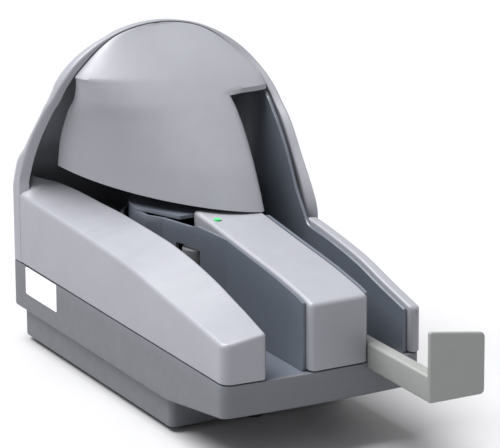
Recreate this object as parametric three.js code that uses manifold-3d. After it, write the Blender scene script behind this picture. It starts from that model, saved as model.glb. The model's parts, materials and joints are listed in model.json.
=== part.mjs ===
// Desktop cheque scanner: a U-shaped paper track under a hood, with a hopper and a pull-out exit tray.
// Millimetres. Body frame: x from the left side, y back from the front face, z up from the skirt's foot.
import * as THREE from 'three';
import { mergeVertices } from 'three/addons/utils/BufferGeometryUtils.js';
import Module from 'manifold-3d';

const wasm = await Module();
wasm.setup();

// ---- Driving dimensions ----------------------------------------------------------------------------
const leftWallWidth = 26;        // sloping arm left of the hopper
const hopperWidth = 27.2;
const islandWidth = 36.8;        // block between hopper and exit channel
const exitWidth = 28;
const rightWallWidth = 7;
const bodyLength = 276;
const seamHeight = 48;           // top of the base, where the upper housing starts
const shoulderHeight = 160;      // the hood's sides stand upright to here
const crownRise = 42.8;          // rounding of the hood above its shoulders
const crownExponent = 2;
const crownShift = 3;            // the crown leans to the exit side
const frontBow = 2.4;            // the front face bulges forward at its middle
const rearCorner = 6;
const wall = 2.6;                // moulded shells
const rimWidth = 4.5;            // front-facing edge of the hood
const seamGap = 0.8;             // shadow line between base and upper housing
const gap = 0.3;                 // between fixed pieces that touch
const runGap = 0.5;              // between pieces that move past each other
const bearingGap = 0.1;          // round a shaft or pin in its bore
const footHeight = 3;
const footRadius = 7;
const skirtHeight = 19;
const skirtInset = 4.8;
const skirtFront = 73;
const noseHeight = 28.7;         // lower edge of the base at the front corner
// Heights along the depth [y, z].
const hopperWallRise = [[0, 75], [30, 82], [58, 89], [90, 94.4], [120, 97], [169, 98], [208, 99],
  [240, 99.5], [252, 100.5], [262, 104.5]];
const creaseRise = [[0, 71], [31, 75], [66, 79], [112, 85], [151, 87.7], [215, 90], [276, 91]];
const rightWallRise = [[0, 75], [30, 82], [58, 89], [90, 94], [117, 97], [150, 99]];
const islandRise = [[0, 87], [10, 89.8], [35, 94], [75, 98.6], [116, 103.4], [135, 105.4]];
// Depths up the height [z, y].
const hoodBack = [[95, 276], [110, 273], [125, 260], [140, 246.5], [155, 235], [170, 224], [180, 216.5],
  [190, 211.5], [197, 208.5], [203.5, 206]];
const leftRim = [[48, 262], [98, 262], [108, 258], [128, 244.5], [151, 223], [164, 209], [176, 205],
  [203, 205]];
const rightRim = [[48, 117], [97, 117], [135, 139], [149, 150], [158, 161], [166, 170], [178, 183],
  [188, 191], [195, 197], [203, 205]];
const coverFront = [[100, 116], [104, 118], [127, 131], [137.4, 138.6], [150, 149], [158, 156], [167, 160.5],
  [175, 168], [185, 178.5], [195, 191], [201, 201], [203, 205]];
// Sides of the cover up the height [z, x]: a finger slot lies between its left edge and the rim.
const coverLeftSide = [[104, 16], [117, 14.8], [131, 13], [146, 11.2], [158, 9.9], [165, 10.6], [171, 12.6],
  [176, 11.4], [180, 8]];
const coverRightSide = [[104, 91.4], [125, 92.6], [145, 93.6], [155, 93.2], [164, 91.4]];
const coverRightmost = 96;
const coverBase = 104;           // foot of the cover at its right corner
const coverBaseSlope = 0.12;     // the foot rises to the left
const lipHeight = 164.2;           // underside of the finger lip over the exit channel
const lipThick = 2.8;
const islandBack = 136;
const coverFrontY = 100;         // foremost reach of the cover over the island
const deckThick = 2.3;
const guideThick = 2;
const trackGap = 3;
const turnRear = 63;             // from the rear of the body to the outside of the U-turn
const guideTop = 94.6;
const innerTop = 101;            // inner guide, under the cover
const exitGuideTop = 163;
const trackCoverThick = 2;
const trayReach = 65;            // how far the pulled-out tray stands in front of the body
const trayEndThick = 3;
const trayTongue = 16;
const trayRail = 8.3;
const trayBottom = 43.6;
const trayRailTop = 58.8;
const trayEndTop = 84.3;
const trayFloor = 2.4;
const trayStop = 3;              // left between end stop and body when the tray is pushed in
const entryAngle = 180;          // places round the U-turn, from the exit side
const rearAngle = 105;
const exitAngle = 28;
const frankAngle = 66;
const driveRadius = 8;
const pinchRadius = 6;
const frankRadius = 11;
const feedRadius = 9;
const shaftRadius = 2.5;
const bushRadius = 4.2;
const pinRadius = 1.5;
const tyreRise = 10;             // tyres start this far above the deck
const tyreHeight = 30;
const feedShare = 0.6;           // place of the feed roller along the throat
const pulleyRadius = 6;
const pulleyHeight = 7;
const beltThick = 1.2;
const beltHeight = 5;
const motorRadius = 14;
const motorHeight = 28;
const postRadius = 4.5;
const screwRadius = 1.6;
const socketWidth = 11;
const socketLow = 26;
const socketHigh = 37;
const lensRadius = 2.2;
const labelFront = 212;
const labelBack = 256;
const labelLow = 30;

// ---- Sizes that follow -----------------------------------------------------------------------------
const hopperLeft = leftWallWidth;
const hopperRight = hopperLeft + hopperWidth;
const islandRight = hopperRight + islandWidth;
const exitRight = islandRight + exitWidth;
const bodyWidth = exitRight + rightWallWidth;
const middle = bodyWidth / 2;
const crownHeight = shoulderHeight + crownRise;
const housingBottom = seamHeight + seamGap / 2;
const baseTop = seamHeight - seamGap / 2;
const deckTop = baseTop - gap;
const deckBottom = deckTop - deckThick;
const guideBottom = deckTop + gap;
const trackOuterLeft = hopperLeft + gap + guideThick;
const trackOuterRight = exitRight - gap - guideThick;
const turnX = (trackOuterLeft + trackOuterRight) / 2;
const turnOuter = (trackOuterRight - trackOuterLeft) / 2;
const turnInner = turnOuter - trackGap;
const turnY = bodyLength - turnRear - turnOuter - guideThick;
const trackMiddle = (turnOuter + turnInner) / 2;
const trayTravel = trayReach - trayStop;
const trayInner = trayTravel + trayTongue;
const coverTop = crownHeight - rimWidth - gap;
const tyreLow = deckTop + tyreRise;
const tyreTop = tyreLow + tyreHeight;
const pulleyHigh = deckBottom - 3;
const pulleyLow = pulleyHigh - pulleyHeight;

// ---- Geometry helpers ------------------------------------------------------------------------------
// Smooth curve through [position, value] pairs, with slopes that never overshoot.
function curve(points) {
  const steps = points.slice(1).map((p, i) => (p[1] - points[i][1]) / (p[0] - points[i][0]));
  const slopes = points.map((p, i) => {
    if (i === 0) return steps[0];
    if (i === points.length - 1) return steps[i - 1];
    return steps[i - 1] * steps[i] <= 0 ? 0 : 2 * steps[i - 1] * steps[i] / (steps[i - 1] + steps[i]);
  });
  return (at) => {
    const t = Math.min(Math.max(at, points[0][0]), points[points.length - 1][0]);
    let i = 0;
    while (i < points.length - 2 && t > points[i + 1][0]) i += 1;
    const h = points[i + 1][0] - points[i][0];
    const s = (t - points[i][0]) / h;
    const rise = points[i][1] * (2 * s ** 3 - 3 * s ** 2 + 1) + points[i + 1][1] * (3 * s ** 2 - 2 * s ** 3);
    return rise + h * slopes[i] * (s ** 3 - 2 * s ** 2 + s) + h * slopes[i + 1] * (s ** 3 - s ** 2);
  };
}

function solidOf(geometry) {
  const bare = geometry.clone();
  bare.deleteAttribute('normal');
  bare.deleteAttribute('uv');
  const merged = mergeVertices(bare, 1e-4);
  const corners = Array.from(merged.index.array);
  const faces = corners.filter((v, i) => i % 3 === 0).map((v, i) => corners.slice(3 * i, 3 * i + 3));
  const whole = faces.filter(([a, b, c]) => a !== b && b !== c && c !== a);
  return new wasm.Manifold(new wasm.Mesh({
    numProp: 3,
    vertProperties: new Float32Array(merged.attributes.position.array),
    triVerts: new Uint32Array(whole.flat()),
  }));
}

function geometryOf(solid) {
  const data = solid.getMesh();
  const geometry = new THREE.BufferGeometry();
  geometry.setAttribute('position', new THREE.BufferAttribute(new Float32Array(data.vertProperties), 3));
  geometry.setIndex(new THREE.BufferAttribute(new Uint32Array(data.triVerts), 1));
  geometry.computeVertexNormals();
  return geometry;
}

function join(...solids) {
  return solids.reduce((a, b) => a.add(b));
}

function cut(solid, ...tools) {
  return tools.reduce((a, b) => a.subtract(b), solid);
}

function outline(points) {
  return new THREE.Shape(points.map(([u, v]) => new THREE.Vector2(u, v)));
}

// A plan outline [x, y] standing from low to high.
function standing(points, low, high) {
  const geometry = new THREE.ExtrudeGeometry(outline(points), { depth: high - low, bevelEnabled: false });
  return solidOf(geometry.translate(0, 0, low));
}

// A side outline [y, z] carried across from x = near to x = far.
function across(points, near, far) {
  const geometry = new THREE.ExtrudeGeometry(outline(points), { depth: far - near, bevelEnabled: false });
  const turn = new THREE.Matrix4().makeBasis(
    new THREE.Vector3(0, 1, 0), new THREE.Vector3(0, 0, 1), new THREE.Vector3(1, 0, 0));
  return solidOf(geometry.applyMatrix4(turn).translate(near, 0, 0));
}

function block(x0, x1, y0, y1, z0, z1) {
  const geometry = new THREE.BoxGeometry(x1 - x0, y1 - y0, z1 - z0);
  return solidOf(geometry.translate((x0 + x1) / 2, (y0 + y1) / 2, (z0 + z1) / 2));
}

function rod(x, y, radius, low, high, sides = 24) {
  const geometry = new THREE.CylinderGeometry(radius, radius, high - low, sides);
  return solidOf(geometry.rotateX(Math.PI / 2).translate(x, y, (low + high) / 2));
}

// Skins a stack of convex closed rings that all have the same number of points, and closes both ends
// with a fan about the middle of the ring.
function loft(rings) {
  const count = rings[0].length;
  const triangles = [];
  for (let i = 0; i < rings.length - 1; i += 1) {
    for (let j = 0; j < count; j += 1) {
      const k = (j + 1) % count;
      triangles.push(i * count + j, i * count + k, (i + 1) * count + k);
      triangles.push(i * count + j, (i + 1) * count + k, (i + 1) * count + j);
    }
  }
  const ends = [rings[0], rings[rings.length - 1]];
  const mean = (ring, axis) => ring.reduce((sum, p) => sum + p[axis], 0) / count;
  const hubs = ends.map((ring) => [0, 1, 2].map((axis) => mean(ring, axis)));
  const last = (rings.length - 1) * count;
  const hub = rings.length * count;
  for (let j = 0; j < count; j += 1) {
    const k = (j + 1) % count;
    triangles.push(hub, k, j);
    triangles.push(hub + 1, last + j, last + k);
  }
  const geometry = new THREE.BufferGeometry();
  const points = [...rings.flat(), ...hubs].flat();
  geometry.setAttribute('position', new THREE.BufferAttribute(new Float32Array(points), 3));
  geometry.setIndex(triangles);
  const volume = signedVolume(geometry);
  if (volume < 0) geometry.setIndex(triangles.map((v, i) => triangles[i - (i % 3) + 2 - (i % 3)]));
  return solidOf(geometry);
}

function signedVolume(geometry) {
  const at = geometry.attributes.position;
  const index = geometry.index.array;
  let volume = 0;
  for (let i = 0; i < index.length; i += 3) {
    const [a, b, c] = [0, 1, 2].map((k) => new THREE.Vector3().fromBufferAttribute(at, index[i + k]));
    volume += a.dot(b.cross(c)) / 6;
  }
  return volume;
}

function arc(x, y, radius, from, to, steps) {
  return Array.from({ length: steps + 1 }, (_, i) => {
    const angle = THREE.MathUtils.degToRad(from + (to - from) * i / steps);
    return [x + radius * Math.cos(angle), y + radius * Math.sin(angle)];
  });
}

// Body plan with a bowed front, rounded rear corners and an inset.
function bodyPlan(inset) {
  const right = bodyWidth - inset;
  const back = bodyLength - inset;
  const radius = Math.max(rearCorner - inset, 0.8);
  const front = Array.from({ length: 9 }, (_, i) => {
    const s = i / 8;
    return [inset + (right - inset) * s, inset - frontBow * 4 * s * (1 - s)];
  });
  return [...front, ...arc(right - radius, back - radius, radius, 0, 90, 5),
    ...arc(inset + radius, back - radius, radius, 90, 180, 5)];
}

// ---- Hood and cover surfaces -----------------------------------------------------------------------
const backAt = curve(hoodBack);
const leftRimAt = curve(leftRim);
const rightRimAt = curve(rightRim);
const frontAt = curve(coverFront);
const leftSideAt = curve(coverLeftSide);
const rightSideAt = curve(coverRightSide);
const lowerLevels = [95, 105, 115, 127, 139, 151, 158, lipHeight];
const upperLevels = [lipHeight, 168, 171, 174, 177.5, 184, 189, 193, 196, coverTop - 0.1];
const crownLevels = [4, 2, 0.7, 0.05].map((below) => crownHeight - below);
const hoodLevels = [...lowerLevels, ...upperLevels.slice(1), ...crownLevels];
const hoodCorner = 20;
const crownSeam = 205;           // where the cover meets the hood over the crown

// Middle and half width of the hood at a height: upright sides, then a superellipse to the crown.
function hoodSpan(z, inset) {
  const s = Math.min(Math.max((z - shoulderHeight) / (crownRise - inset), 0), 1);
  const half = (middle - inset) * (1 - s ** crownExponent) ** (1 / crownExponent);
  return [middle + crownShift * s ** 2, half];
}

function hoodRing(z, inset, front) {
  const [centre, half] = hoodSpan(z, inset);
  const back = backAt(z) - inset;
  const corner = rearCorner + (hoodCorner - rearCorner) * Math.min(Math.max((z - 95) / 50, 0), 1) - inset;
  const radius = Math.min(Math.max(corner, 1), half, Math.max(0.8 * (back - crownSeam), 1));
  const ring = [[centre + half, front], ...arc(centre + half - radius, back - radius, radius, 0, 90, 7),
    ...arc(centre - half + radius, back - radius, radius, 90, 180, 7), [centre - half, front]];
  return ring.map(([x, y]) => [x, y, z]);
}

function hoodSolid(inset, low, front) {
  const top = crownHeight - inset;
  const levels = [low, ...hoodLevels.map((z) => Math.min(z, crownHeight) - inset * (z - 95) / (top - 95))];
  return loft(levels.map((z) => hoodRing(z, inset, front)));
}

// Everything in front of the hood's opening, from the left rim to the right rim, moved back by shift.
function openingSolid(shift, low, leftEdge, rightEdge) {
  const levels = [low, ...hoodLevels, crownHeight + 6];
  const ring = (z) => {
    const along = (x) => leftRimAt(z) + (rightRimAt(z) - leftRimAt(z)) * x / bodyWidth + shift;
    const edge = Array.from({ length: 7 }, (_, i) => rightEdge + (leftEdge - rightEdge) * i / 6);
    return [[leftEdge, -90], [rightEdge, -90], ...edge.map((x) => [x, along(x)])];
  };
  return loft(levels.map((z) => ring(z).map(([x, y]) => [x, y, z])));
}

// The cover bulges from the left rim to a front line; a quarter ellipse in plan, straight to the right.
function coverRing(z, inset, right, back) {
  const [centre, half] = hoodSpan(z, rimWidth + gap);
  const left = Math.max(leftSideAt(z), centre - half) + inset;
  const end = Math.min(right > islandRight ? right : rightSideAt(z), centre + half) - inset;
  const turn = Math.min(islandRight - 2, end - 2) - inset * 0.2;
  const along = (x) => leftRimAt(z) + (rightRimAt(z) - leftRimAt(z)) * x / bodyWidth - gap;
  const rearLeft = along(left);
  const front = Math.min(frontAt(z), along(turn) - 0.4) + inset;
  const ellipse = Array.from({ length: 12 }, (_, i) => {
    const angle = i / 11 * Math.PI / 2;
    return [turn - (turn - left) * Math.cos(angle), rearLeft - (rearLeft - front) * Math.sin(angle)];
  });
  const corner = right > islandRight ? 5 : 1.5;
  const exponent = 2 + 4 * Math.min(Math.max((crownHeight - z) / (crownHeight - lipHeight), 0), 1);
  const rearRight = Math.max(along(end), front + corner);
  const side = Array.from({ length: 4 }, (_, i) => {
    const angle = (i + 1) / 4 * Math.PI / 2;
    return [turn + (end - turn) * Math.sin(angle) ** (2 / exponent),
      rearRight - (rearRight - front) * Math.cos(angle) ** (2 / exponent)];
  });
  return [...ellipse, ...side, [end, rearRight + back], [left, rearLeft + back]].map(([x, y]) => [x, y, z]);
}

// Point on the U-turn at an angle (0 to the right, 90 to the rear, 180 to the left).
function onTurn(degrees, radius) {
  const angle = THREE.MathUtils.degToRad(degrees);
  return [turnX + radius * Math.cos(angle), turnY + radius * Math.sin(angle)];
}

// ---- Places [x, y] of what stands on the deck ------------------------------------------------------
const driveAngles = [entryAngle, rearAngle, exitAngle];
const drivePlaces = driveAngles.map((angle) => onTurn(angle, trackMiddle - gap / 2 - driveRadius));
const pinchPlaces = driveAngles.map((angle) => onTurn(angle, trackMiddle + gap / 2 + pinchRadius));
const frankPlace = onTurn(frankAngle, trackMiddle - gap - frankRadius);
const innerRadius = turnInner - guideThick / 2;
const throatFront = [hopperRight - guideThick / 2, 92];
const throatBack = [turnX - innerRadius + 6, turnY - 22];
const throatSpan = [0, 1].map((k) => throatBack[k] - throatFront[k]);
const feedPoint = [0, 1].map((k) => throatFront[k] + feedShare * throatSpan[k]);
const feedInset = (feedRadius - guideThick / 2 - trackGap / 2) / Math.hypot(...throatSpan);
const feedPlace = [feedPoint[0] + feedInset * throatSpan[1], feedPoint[1] - feedInset * throatSpan[0]];
const separatorPlace = [trackOuterLeft + trackGap - 2.5 - pinchRadius, turnY - 24];
const pusherPlace = [hopperLeft - 7, 62];
const motorPlace = [turnX, turnY - 30];
const stations = [...drivePlaces, feedPlace, frankPlace];
const stationNames = ['entry', 'rear', 'exit', 'feed', 'franking'];
const postPlaces = [[14, 16], [bodyWidth - 14, 100], [14, bodyLength - 22],
  [bodyWidth - 14, bodyLength - 22]];
const socketPlaces = [islandRight + 6, middle];
const lensPlace = [hopperRight + 6, 118];
const headPlaces = [
  { name: 'magnetic_head', angle: 157, side: 1, width: 10, depth: 12, high: 26 },
  { name: 'front_image_sensor', angle: 133, side: 1, width: 15, depth: 14, high: 46 },
  { name: 'rear_image_sensor', angle: 142, side: -1, width: 15, depth: 12, high: 46 },
];

// ---- Materials -------------------------------------------------------------------------------------
const material = (color, roughness, metalness) =>
  new THREE.MeshStandardMaterial({ color, roughness, metalness });
const plastic = (color, roughness = 0.5) => material(color, roughness, 0);
const metal = (color, roughness = 0.35) => material(color, roughness, 1);
const silverPlastic = plastic('#b4b5bb');
const basePlastic = plastic('#6f7178');
const darkPlastic = plastic('#3a3f47');
const trayPlastic = plastic('#868986');
const blackRubber = plastic('#17181a', 0.85);
const greyRubber = plastic('#4a4b4d', 0.8);
const steel = metal('#b9bcc0');
const boardGreen = plastic('#1f5d3a', 0.55);
const labelWhite = plastic('#e8e8ea', 0.4);
const lensGreen = plastic('#3fbf6a', 0.15);
const inkBlack = plastic('#1c1c20', 0.4);
const magnetGrey = metal('#6e7074', 0.5);

// ---- Assembly --------------------------------------------------------------------------------------
const group = new THREE.Group();
const body = new THREE.Group();
body.position.set(-middle, (trayReach + trayEndThick - bodyLength) / 2, footHeight);
group.add(body);

function place(name, solid, material) {
  const mesh = new THREE.Mesh(geometryOf(solid), material);
  mesh.name = name;
  body.add(mesh);
}

// Base: a shallow tray whose underside rises to the front, standing on a narrower skirt.
function basePan() {
  const side = (inset) => across([[-10, noseHeight + inset], [skirtFront - 3, skirtHeight + inset],
    [bodyLength + 5, skirtHeight + inset], [bodyLength + 5, baseTop + inset * 4],
    [-10, baseTop + inset * 4]], -5, bodyWidth + 5);
  const skirtPlan = (inset) => {
    const left = skirtInset + inset;
    const right = bodyWidth - skirtInset - inset;
    const back = bodyLength - skirtInset - inset;
    return [[left, skirtFront + inset], [right, skirtFront + inset],
      ...arc(right - rearCorner, back - rearCorner, rearCorner, 0, 90, 4),
      ...arc(left + rearCorner, back - rearCorner, rearCorner, 90, 180, 4)];
  };
  const outer = join(standing(bodyPlan(0), 0, baseTop).intersect(side(0)),
    standing(skirtPlan(0), 0, skirtHeight + 1));
  const inner = join(standing(bodyPlan(wall), 0, seamHeight + 9).intersect(side(wall)),
    standing(skirtPlan(wall), wall, seamHeight));
  const trayNotch = block(islandRight - gap, bodyWidth + 5, -10, wall + 3, trayBottom - gap, seamHeight + 5);
  const labelNotch = block(-1, 1, labelFront, labelBack, labelLow, seamHeight + 5);
  const socketHoles = socketPlaces.map((x) => socketBlock(x, gap, 8));
  return cut(join(cut(outer, inner), deckSupports()), trayNotch, labelNotch, ...socketHoles);
}

// Room for a socket in the rear wall, or the socket's own outside.
function socketBlock(x, room, out) {
  const half = socketWidth / 2 + room;
  return block(x - half, x + half, bodyLength - 14 - room, bodyLength - 0.2 + out, socketLow - room,
    socketHigh + room);
}

// Posts that carry the deck, each with a blind screw hole from above.
function deckSupports() {
  return join(...postPlaces.map(([x, y]) => {
    const foot = y < skirtFront ? noseHeight - 2 : 1;
    const bore = rod(x, y, screwRadius, deckBottom - 12, deckTop, 12);
    return cut(rod(x, y, postRadius, foot, deckBottom - gap, 16), bore);
  }));
}

// Upper housing: sloping left arm, hood and right wall moulded in one, open towards the track guides.
function upperHousing() {
  const crest = curve(hopperWallRise);
  const crease = curve(creaseRise);
  const rightTop = curve(rightWallRise);
  const depths = [-8, 0, 15, 30, 48, 66, 90, 115, 140, 169, 208, 232, 250, 259, bodyLength - 8];
  const edgeAt = curve([[0, hopperLeft], [28, hopperLeft + 1.4], [169, hopperLeft + 1.4],
    [203, hopperLeft - 0.6], [228, hopperLeft - 1.7], [250, hopperLeft - 5.3], [259, hopperLeft - 13.5],
    [bodyLength, hopperLeft - 20]]);
  const arm = (inset, low, reach) => loft(depths.map((y) => {
    const edge = edgeAt(y);
    const far = edge + reach;
    return [[inset, y, low], [far, y, low], [far, y, crest(y) - inset], [edge, y, crest(y) - inset],
      [inset, y, crease(y) - inset]];
  }));
  const bank = (inset, low, reach) => loft(depths.slice(0, 9).map((y) => [
    [exitRight - reach, y, low], [bodyWidth - inset, y, low],
    [bodyWidth - inset, y, rightTop(y) - 1 - inset], [exitRight - reach, y, rightTop(y) - inset]]));
  const low = housingBottom - 10;
  const open = (shift) => openingSolid(shift, low - 1, -10, bodyWidth + 10);
  const plan = standing(bodyPlan(0), housingBottom, crownHeight + 20);
  const inner = standing(bodyPlan(wall), low, crownHeight + 20);
  const outside = join(arm(0, housingBottom, 0).intersect(plan), bank(0, housingBottom, 0).intersect(plan),
    cut(hoodSolid(0, housingBottom, 60), open(0)));
  const behindRim = cut(hoodSolid(wall, low, 50), open(wall));
  const throughRim = cut(hoodSolid(rimWidth, low, 50), open(-1));
  const underArm = arm(wall, low, 20).intersect(inner);
  const underBank = bank(wall, low, 20).intersect(inner);
  return cut(outside, underArm, underBank, behindRim, throughRim);
}

// Lift-off cover between the rims: a bulging shell whose upper part reaches out over the exit channel.
function accessCover() {
  const inner = upperLevels.map((z) => (z === lipHeight ? z + lipThick : z - wall * (z - lipHeight) / 40));
  const lower = loft(lowerLevels.map((z) => coverRing(z, 0, islandRight, 0)));
  const dome = loft(upperLevels.map((z) => coverRing(z, 0, exitRight - gap, 0)));
  const lowerHollow = loft([...lowerLevels, lipHeight + 8].map((z) => coverRing(z, wall, islandRight, 40)));
  const domeHollow = loft(inner.map((z) => coverRing(z, wall, exitRight - gap, 40)));
  const under = loft([-20, coverRightmost].map((x) => {
    const z = coverBase + coverBaseSlope * (islandRight - x);
    return [[x, -20, 0], [x, bodyLength + 20, 0], [x, bodyLength + 20, z], [x, -20, z]];
  }));
  const clear = openingSolid(-gap, coverBase - 10, -10, bodyWidth + 10);
  return cut(join(lower, dome).intersect(clear), lowerHollow, domeHollow, under);
}

// Cover plate of the island between hopper and exit channel: top and front, open to the guides at the sides.
function islandCover() {
  const rise = curve(islandRise);
  const ys = [-8, 0, 10, 22, 35, 55, 75, 95, 116, islandBack];
  const side = (inset) => {
    const low = housingBottom - 1 - 9 * inset;
    return [...ys.map((y) => [y, rise(y) - inset]).reverse(), [-8, low], [islandBack + 9 * inset, low]];
  };
  const left = hopperRight + gap;
  const right = islandRight - gap;
  const plan = standing(bodyPlan(0), housingBottom, crownHeight);
  const inner = standing(bodyPlan(wall), housingBottom - 10, crownHeight);
  const top = across(side(0), left, right).intersect(plan);
  const hollow = across(side(wall), left + wall, right - wall).intersect(inner);
  const low = housingBottom - 5;
  const sides = block(left - 1, left + wall + 0.1, 14, bodyLength, low, housingBottom + 24);
  const throatRoom = block(left - 1, left + wall + 3, throatFront[1], bodyLength, low, tyreTop + 4);
  const lensHole = rod(...lensPlace, lensRadius + gap, housingBottom, crownHeight, 20);
  return cut(top, hollow, sides, throatRoom, coverRoom(), lensHole);
}

// Space the lift-off cover's foot needs above the island.
function coverRoom() {
  const foot = (x, shift) => coverBase + coverBaseSlope * (islandRight - x) + shift;
  return loft([-20, islandRight + 2].map((x) => [
    [x, coverFrontY, foot(x, -gap)], [x, 240, foot(x, -gap)], [x, 240, 190], [x, coverFrontY, 190]]));
}

// Dark deck that the paper stands on, with a slot for the tray and holes for the shafts.
function trackDeck() {
  const plan = standing(bodyPlan(wall + gap), deckBottom, deckTop);
  const traySlot = block(islandRight - gap, bodyWidth, -10, trayInner + runGap, 0, 60);
  const holeAt = (radius) => ([x, y]) => rod(x, y, radius, 0, guideBottom, 20);
  const holes = stations.map(holeAt(bushRadius + gap / 2));
  const pins = [...pinchPlaces, pusherPlace].map(holeAt(pinRadius + bearingGap));
  const screws = postPlaces.map(holeAt(screwRadius + gap));
  return cut(plan, traySlot, ...holes, ...pins, ...screws);
}

// Wall that follows a path [x, y], guideThick wide, built from its two offset sides.
function wallAlong(path, low, high) {
  const shift = (side) => path.map(([x, y], i) => {
    const a = path[Math.max(i - 1, 0)];
    const b = path[Math.min(i + 1, path.length - 1)];
    const length = Math.hypot(b[0] - a[0], b[1] - a[1]);
    return [x - side * (b[1] - a[1]) / length, y + side * (b[0] - a[0]) / length];
  });
  return standing([...shift(guideThick / 2), ...shift(-guideThick / 2).reverse()], low, high);
}

// Windows in the guides where rollers and sensors reach the paper.
function windows() {
  const rollers = driveAngles.map((angle) => {
    const [x, y] = onTurn(angle, trackMiddle);
    return rod(x, y, 9.6, tyreLow - 2, tyreTop + 2, 16);
  });
  const frank = rod(...onTurn(frankAngle, trackMiddle), 10, tyreLow - 2, tyreTop + 2, 16);
  const feed = rod(...feedPoint, 10.5, tyreLow - 2, tyreTop + 2, 16);
  const separator = rod(separatorPlace[0] + 4, separatorPlace[1], 8, tyreLow - 2, tyreTop + 2, 16);
  const headWindows = headPlaces.map(({ angle, side }) => headRoom(angle, side));
  return join(...rollers, frank, feed, separator, ...headWindows);
}

// Outer guide of the entry side: from the hopper to the middle of the turn.
function entryGuide() {
  const radius = turnOuter + guideThick / 2;
  const path = [[turnX - radius, 3.2], [turnX - radius, 60], ...arc(turnX, turnY, radius, 180, 92, 18)];
  const top = curve(hopperWallRise);
  const ys = [0, 15, 30, 58, 90, 120];
  const profile = [...ys.map((y) => [y, Math.min(top(y) - wall - 3 * gap, guideTop)]).reverse(), [0, 0],
    [bodyLength, 0], [bodyLength, guideTop]];
  const pusherSlot = block(turnX - radius - 5, turnX - radius + 5, pusherPlace[1] - 12, pusherPlace[1] + 46,
    guideBottom + 6, guideBottom + 30);
  const standingWall = wallAlong(path, guideBottom, crownHeight).intersect(across(profile, 0, bodyWidth));
  return cut(standingWall, windows(), pusherSlot);
}

// Outer guide of the exit side: from the middle of the turn to the front of the exit channel.
function exitGuide() {
  const radius = turnOuter + guideThick / 2;
  const path = [...arc(turnX, turnY, radius, 88, 0, 18), [turnX + radius, 60], [turnX + radius, 3.2]];
  const rim = curve(rightRim);
  const top = curve(rightWallRise);
  const high = [161, 152, 144, 135, 125, 114, 104].map((z) => [rim(z) + 1.4, z]);
  const low = [112, 90, 58, 30, 15, 0].map((y) => [y, top(y) - 2.2]);
  const profile = [[0, 0], [bodyLength, 0], [bodyLength, exitGuideTop], [rim(161) + 4, exitGuideTop],
    ...high, ...low];
  const traySlot = block(0, bodyWidth, -10, trayInner + runGap, 0, trayBottom + trayFloor + runGap);
  const standingWall = wallAlong(path, guideBottom, crownHeight).intersect(across(profile, 0, bodyWidth));
  return cut(standingWall, windows(), traySlot);
}

// Inner guide: hopper face, throat, inside of the turn and the inner side of the exit channel.
function innerGuide() {
  const right = islandRight + gap + guideThick / 2;
  const path = [[throatFront[0], 3.2], throatFront, throatBack, [turnX - innerRadius, turnY - 12],
    ...arc(turnX, turnY, innerRadius, 180, 0, 30), [turnX + innerRadius, turnY - 4], [right, 128],
    [right, 3.2]];
  const rise = curve(islandRise);
  const ys = [0, 10, 35, 55, 75, 95, 116];
  const profile = [...ys.map((y) => [y, rise(y) - 1]).reverse(), [0, 0], [bodyLength, 0],
    [bodyLength, innerTop], [122, innerTop]];
  const trayRoom = block(islandRight - 1, bodyWidth, -10, trayInner + runGap, 0, trayRailTop + runGap);
  const standingWall = wallAlong(path, guideBottom, crownHeight).intersect(across(profile, 0, bodyWidth));
  return cut(standingWall, windows(), trayRoom);
}

// Dark plate on the inner guide that closes the space with the rollers, just under the cover's foot.
function trackCover() {
  const low = innerTop + gap;
  const front = islandBack + 2 * gap;
  return standing([[throatBack[0] + 6, front], [islandRight + 2, front], [islandRight + 8, front + 4],
    ...arc(turnX, turnY, turnInner, 0, 180, 24)], low, low + trackCoverThick);
}

// Exit tray: a rail, a thin floor and an end stop; its tongue slides inside the body.
function exitTray() {
  const left = islandRight + gap / 2;
  const floorRight = exitRight - gap - guideThick - runGap;
  const inner = 2;
  const rail = block(left, left + trayRail, -trayReach, trayTongue, trayBottom, trayRailTop);
  const hollow = block(left + inner, left + trayRail - inner, -trayReach + inner, trayTongue + 5,
    trayBottom - 5, trayRailTop - inner);
  const floor = block(left, floorRight, -trayReach, trayTongue, trayBottom, trayBottom + trayFloor);
  const corner = 2.2;
  const end = block(islandRight, bodyWidth, -trayReach - trayEndThick, -trayReach, trayBottom, trayEndTop);
  const softened = standing([[islandRight, -trayReach + 1], [bodyWidth, -trayReach + 1],
    ...arc(bodyWidth - corner, -trayReach - trayEndThick + corner, corner, 0, -90, 4),
    ...arc(islandRight + corner, -trayReach - trayEndThick + corner, corner, -90, -180, 4)], 0, 100);
  return join(cut(join(rail, floor), hollow), end.intersect(softened));
}

function feet() {
  const inset = skirtInset + footRadius + 5;
  const front = skirtFront + footRadius;
  const places = {
    front_centre: [middle - 1.5, front],
    front_left: [inset, front + 6],
    front_right: [bodyWidth - inset, front + 6],
    rear_left: [inset, bodyLength - inset],
    rear_right: [bodyWidth - inset, bodyLength - inset],
  };
  for (const [where, [x, y]] of Object.entries(places)) {
    const profile = [[0, -footHeight], [footRadius - 0.8, -footHeight], [footRadius, -footHeight + 0.8],
      [footRadius, -gap], [0, -gap]].map(([r, z]) => new THREE.Vector2(r, z));
    const geometry = new THREE.LatheGeometry(profile, 20).rotateX(Math.PI / 2);
    place(`foot_${where}`, solidOf(geometry).translate([x, y, 0]), blackRubber);
  }
}

// Sensors and heads stand on the deck and look through the guides.
function headShape(angle, side, width, depth, low, high, room) {
  const near = side > 0 ? turnOuter + gap - room : -turnInner + gap - room;
  const geometry = new THREE.BoxGeometry(depth + room * 2, width + room * 2, high - low);
  geometry.translate(near + depth / 2 + room, 0, (low + high) / 2);
  geometry.rotateZ(THREE.MathUtils.degToRad(side > 0 ? angle : angle + 180));
  return solidOf(geometry.translate(turnX, turnY, 0));
}

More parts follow.
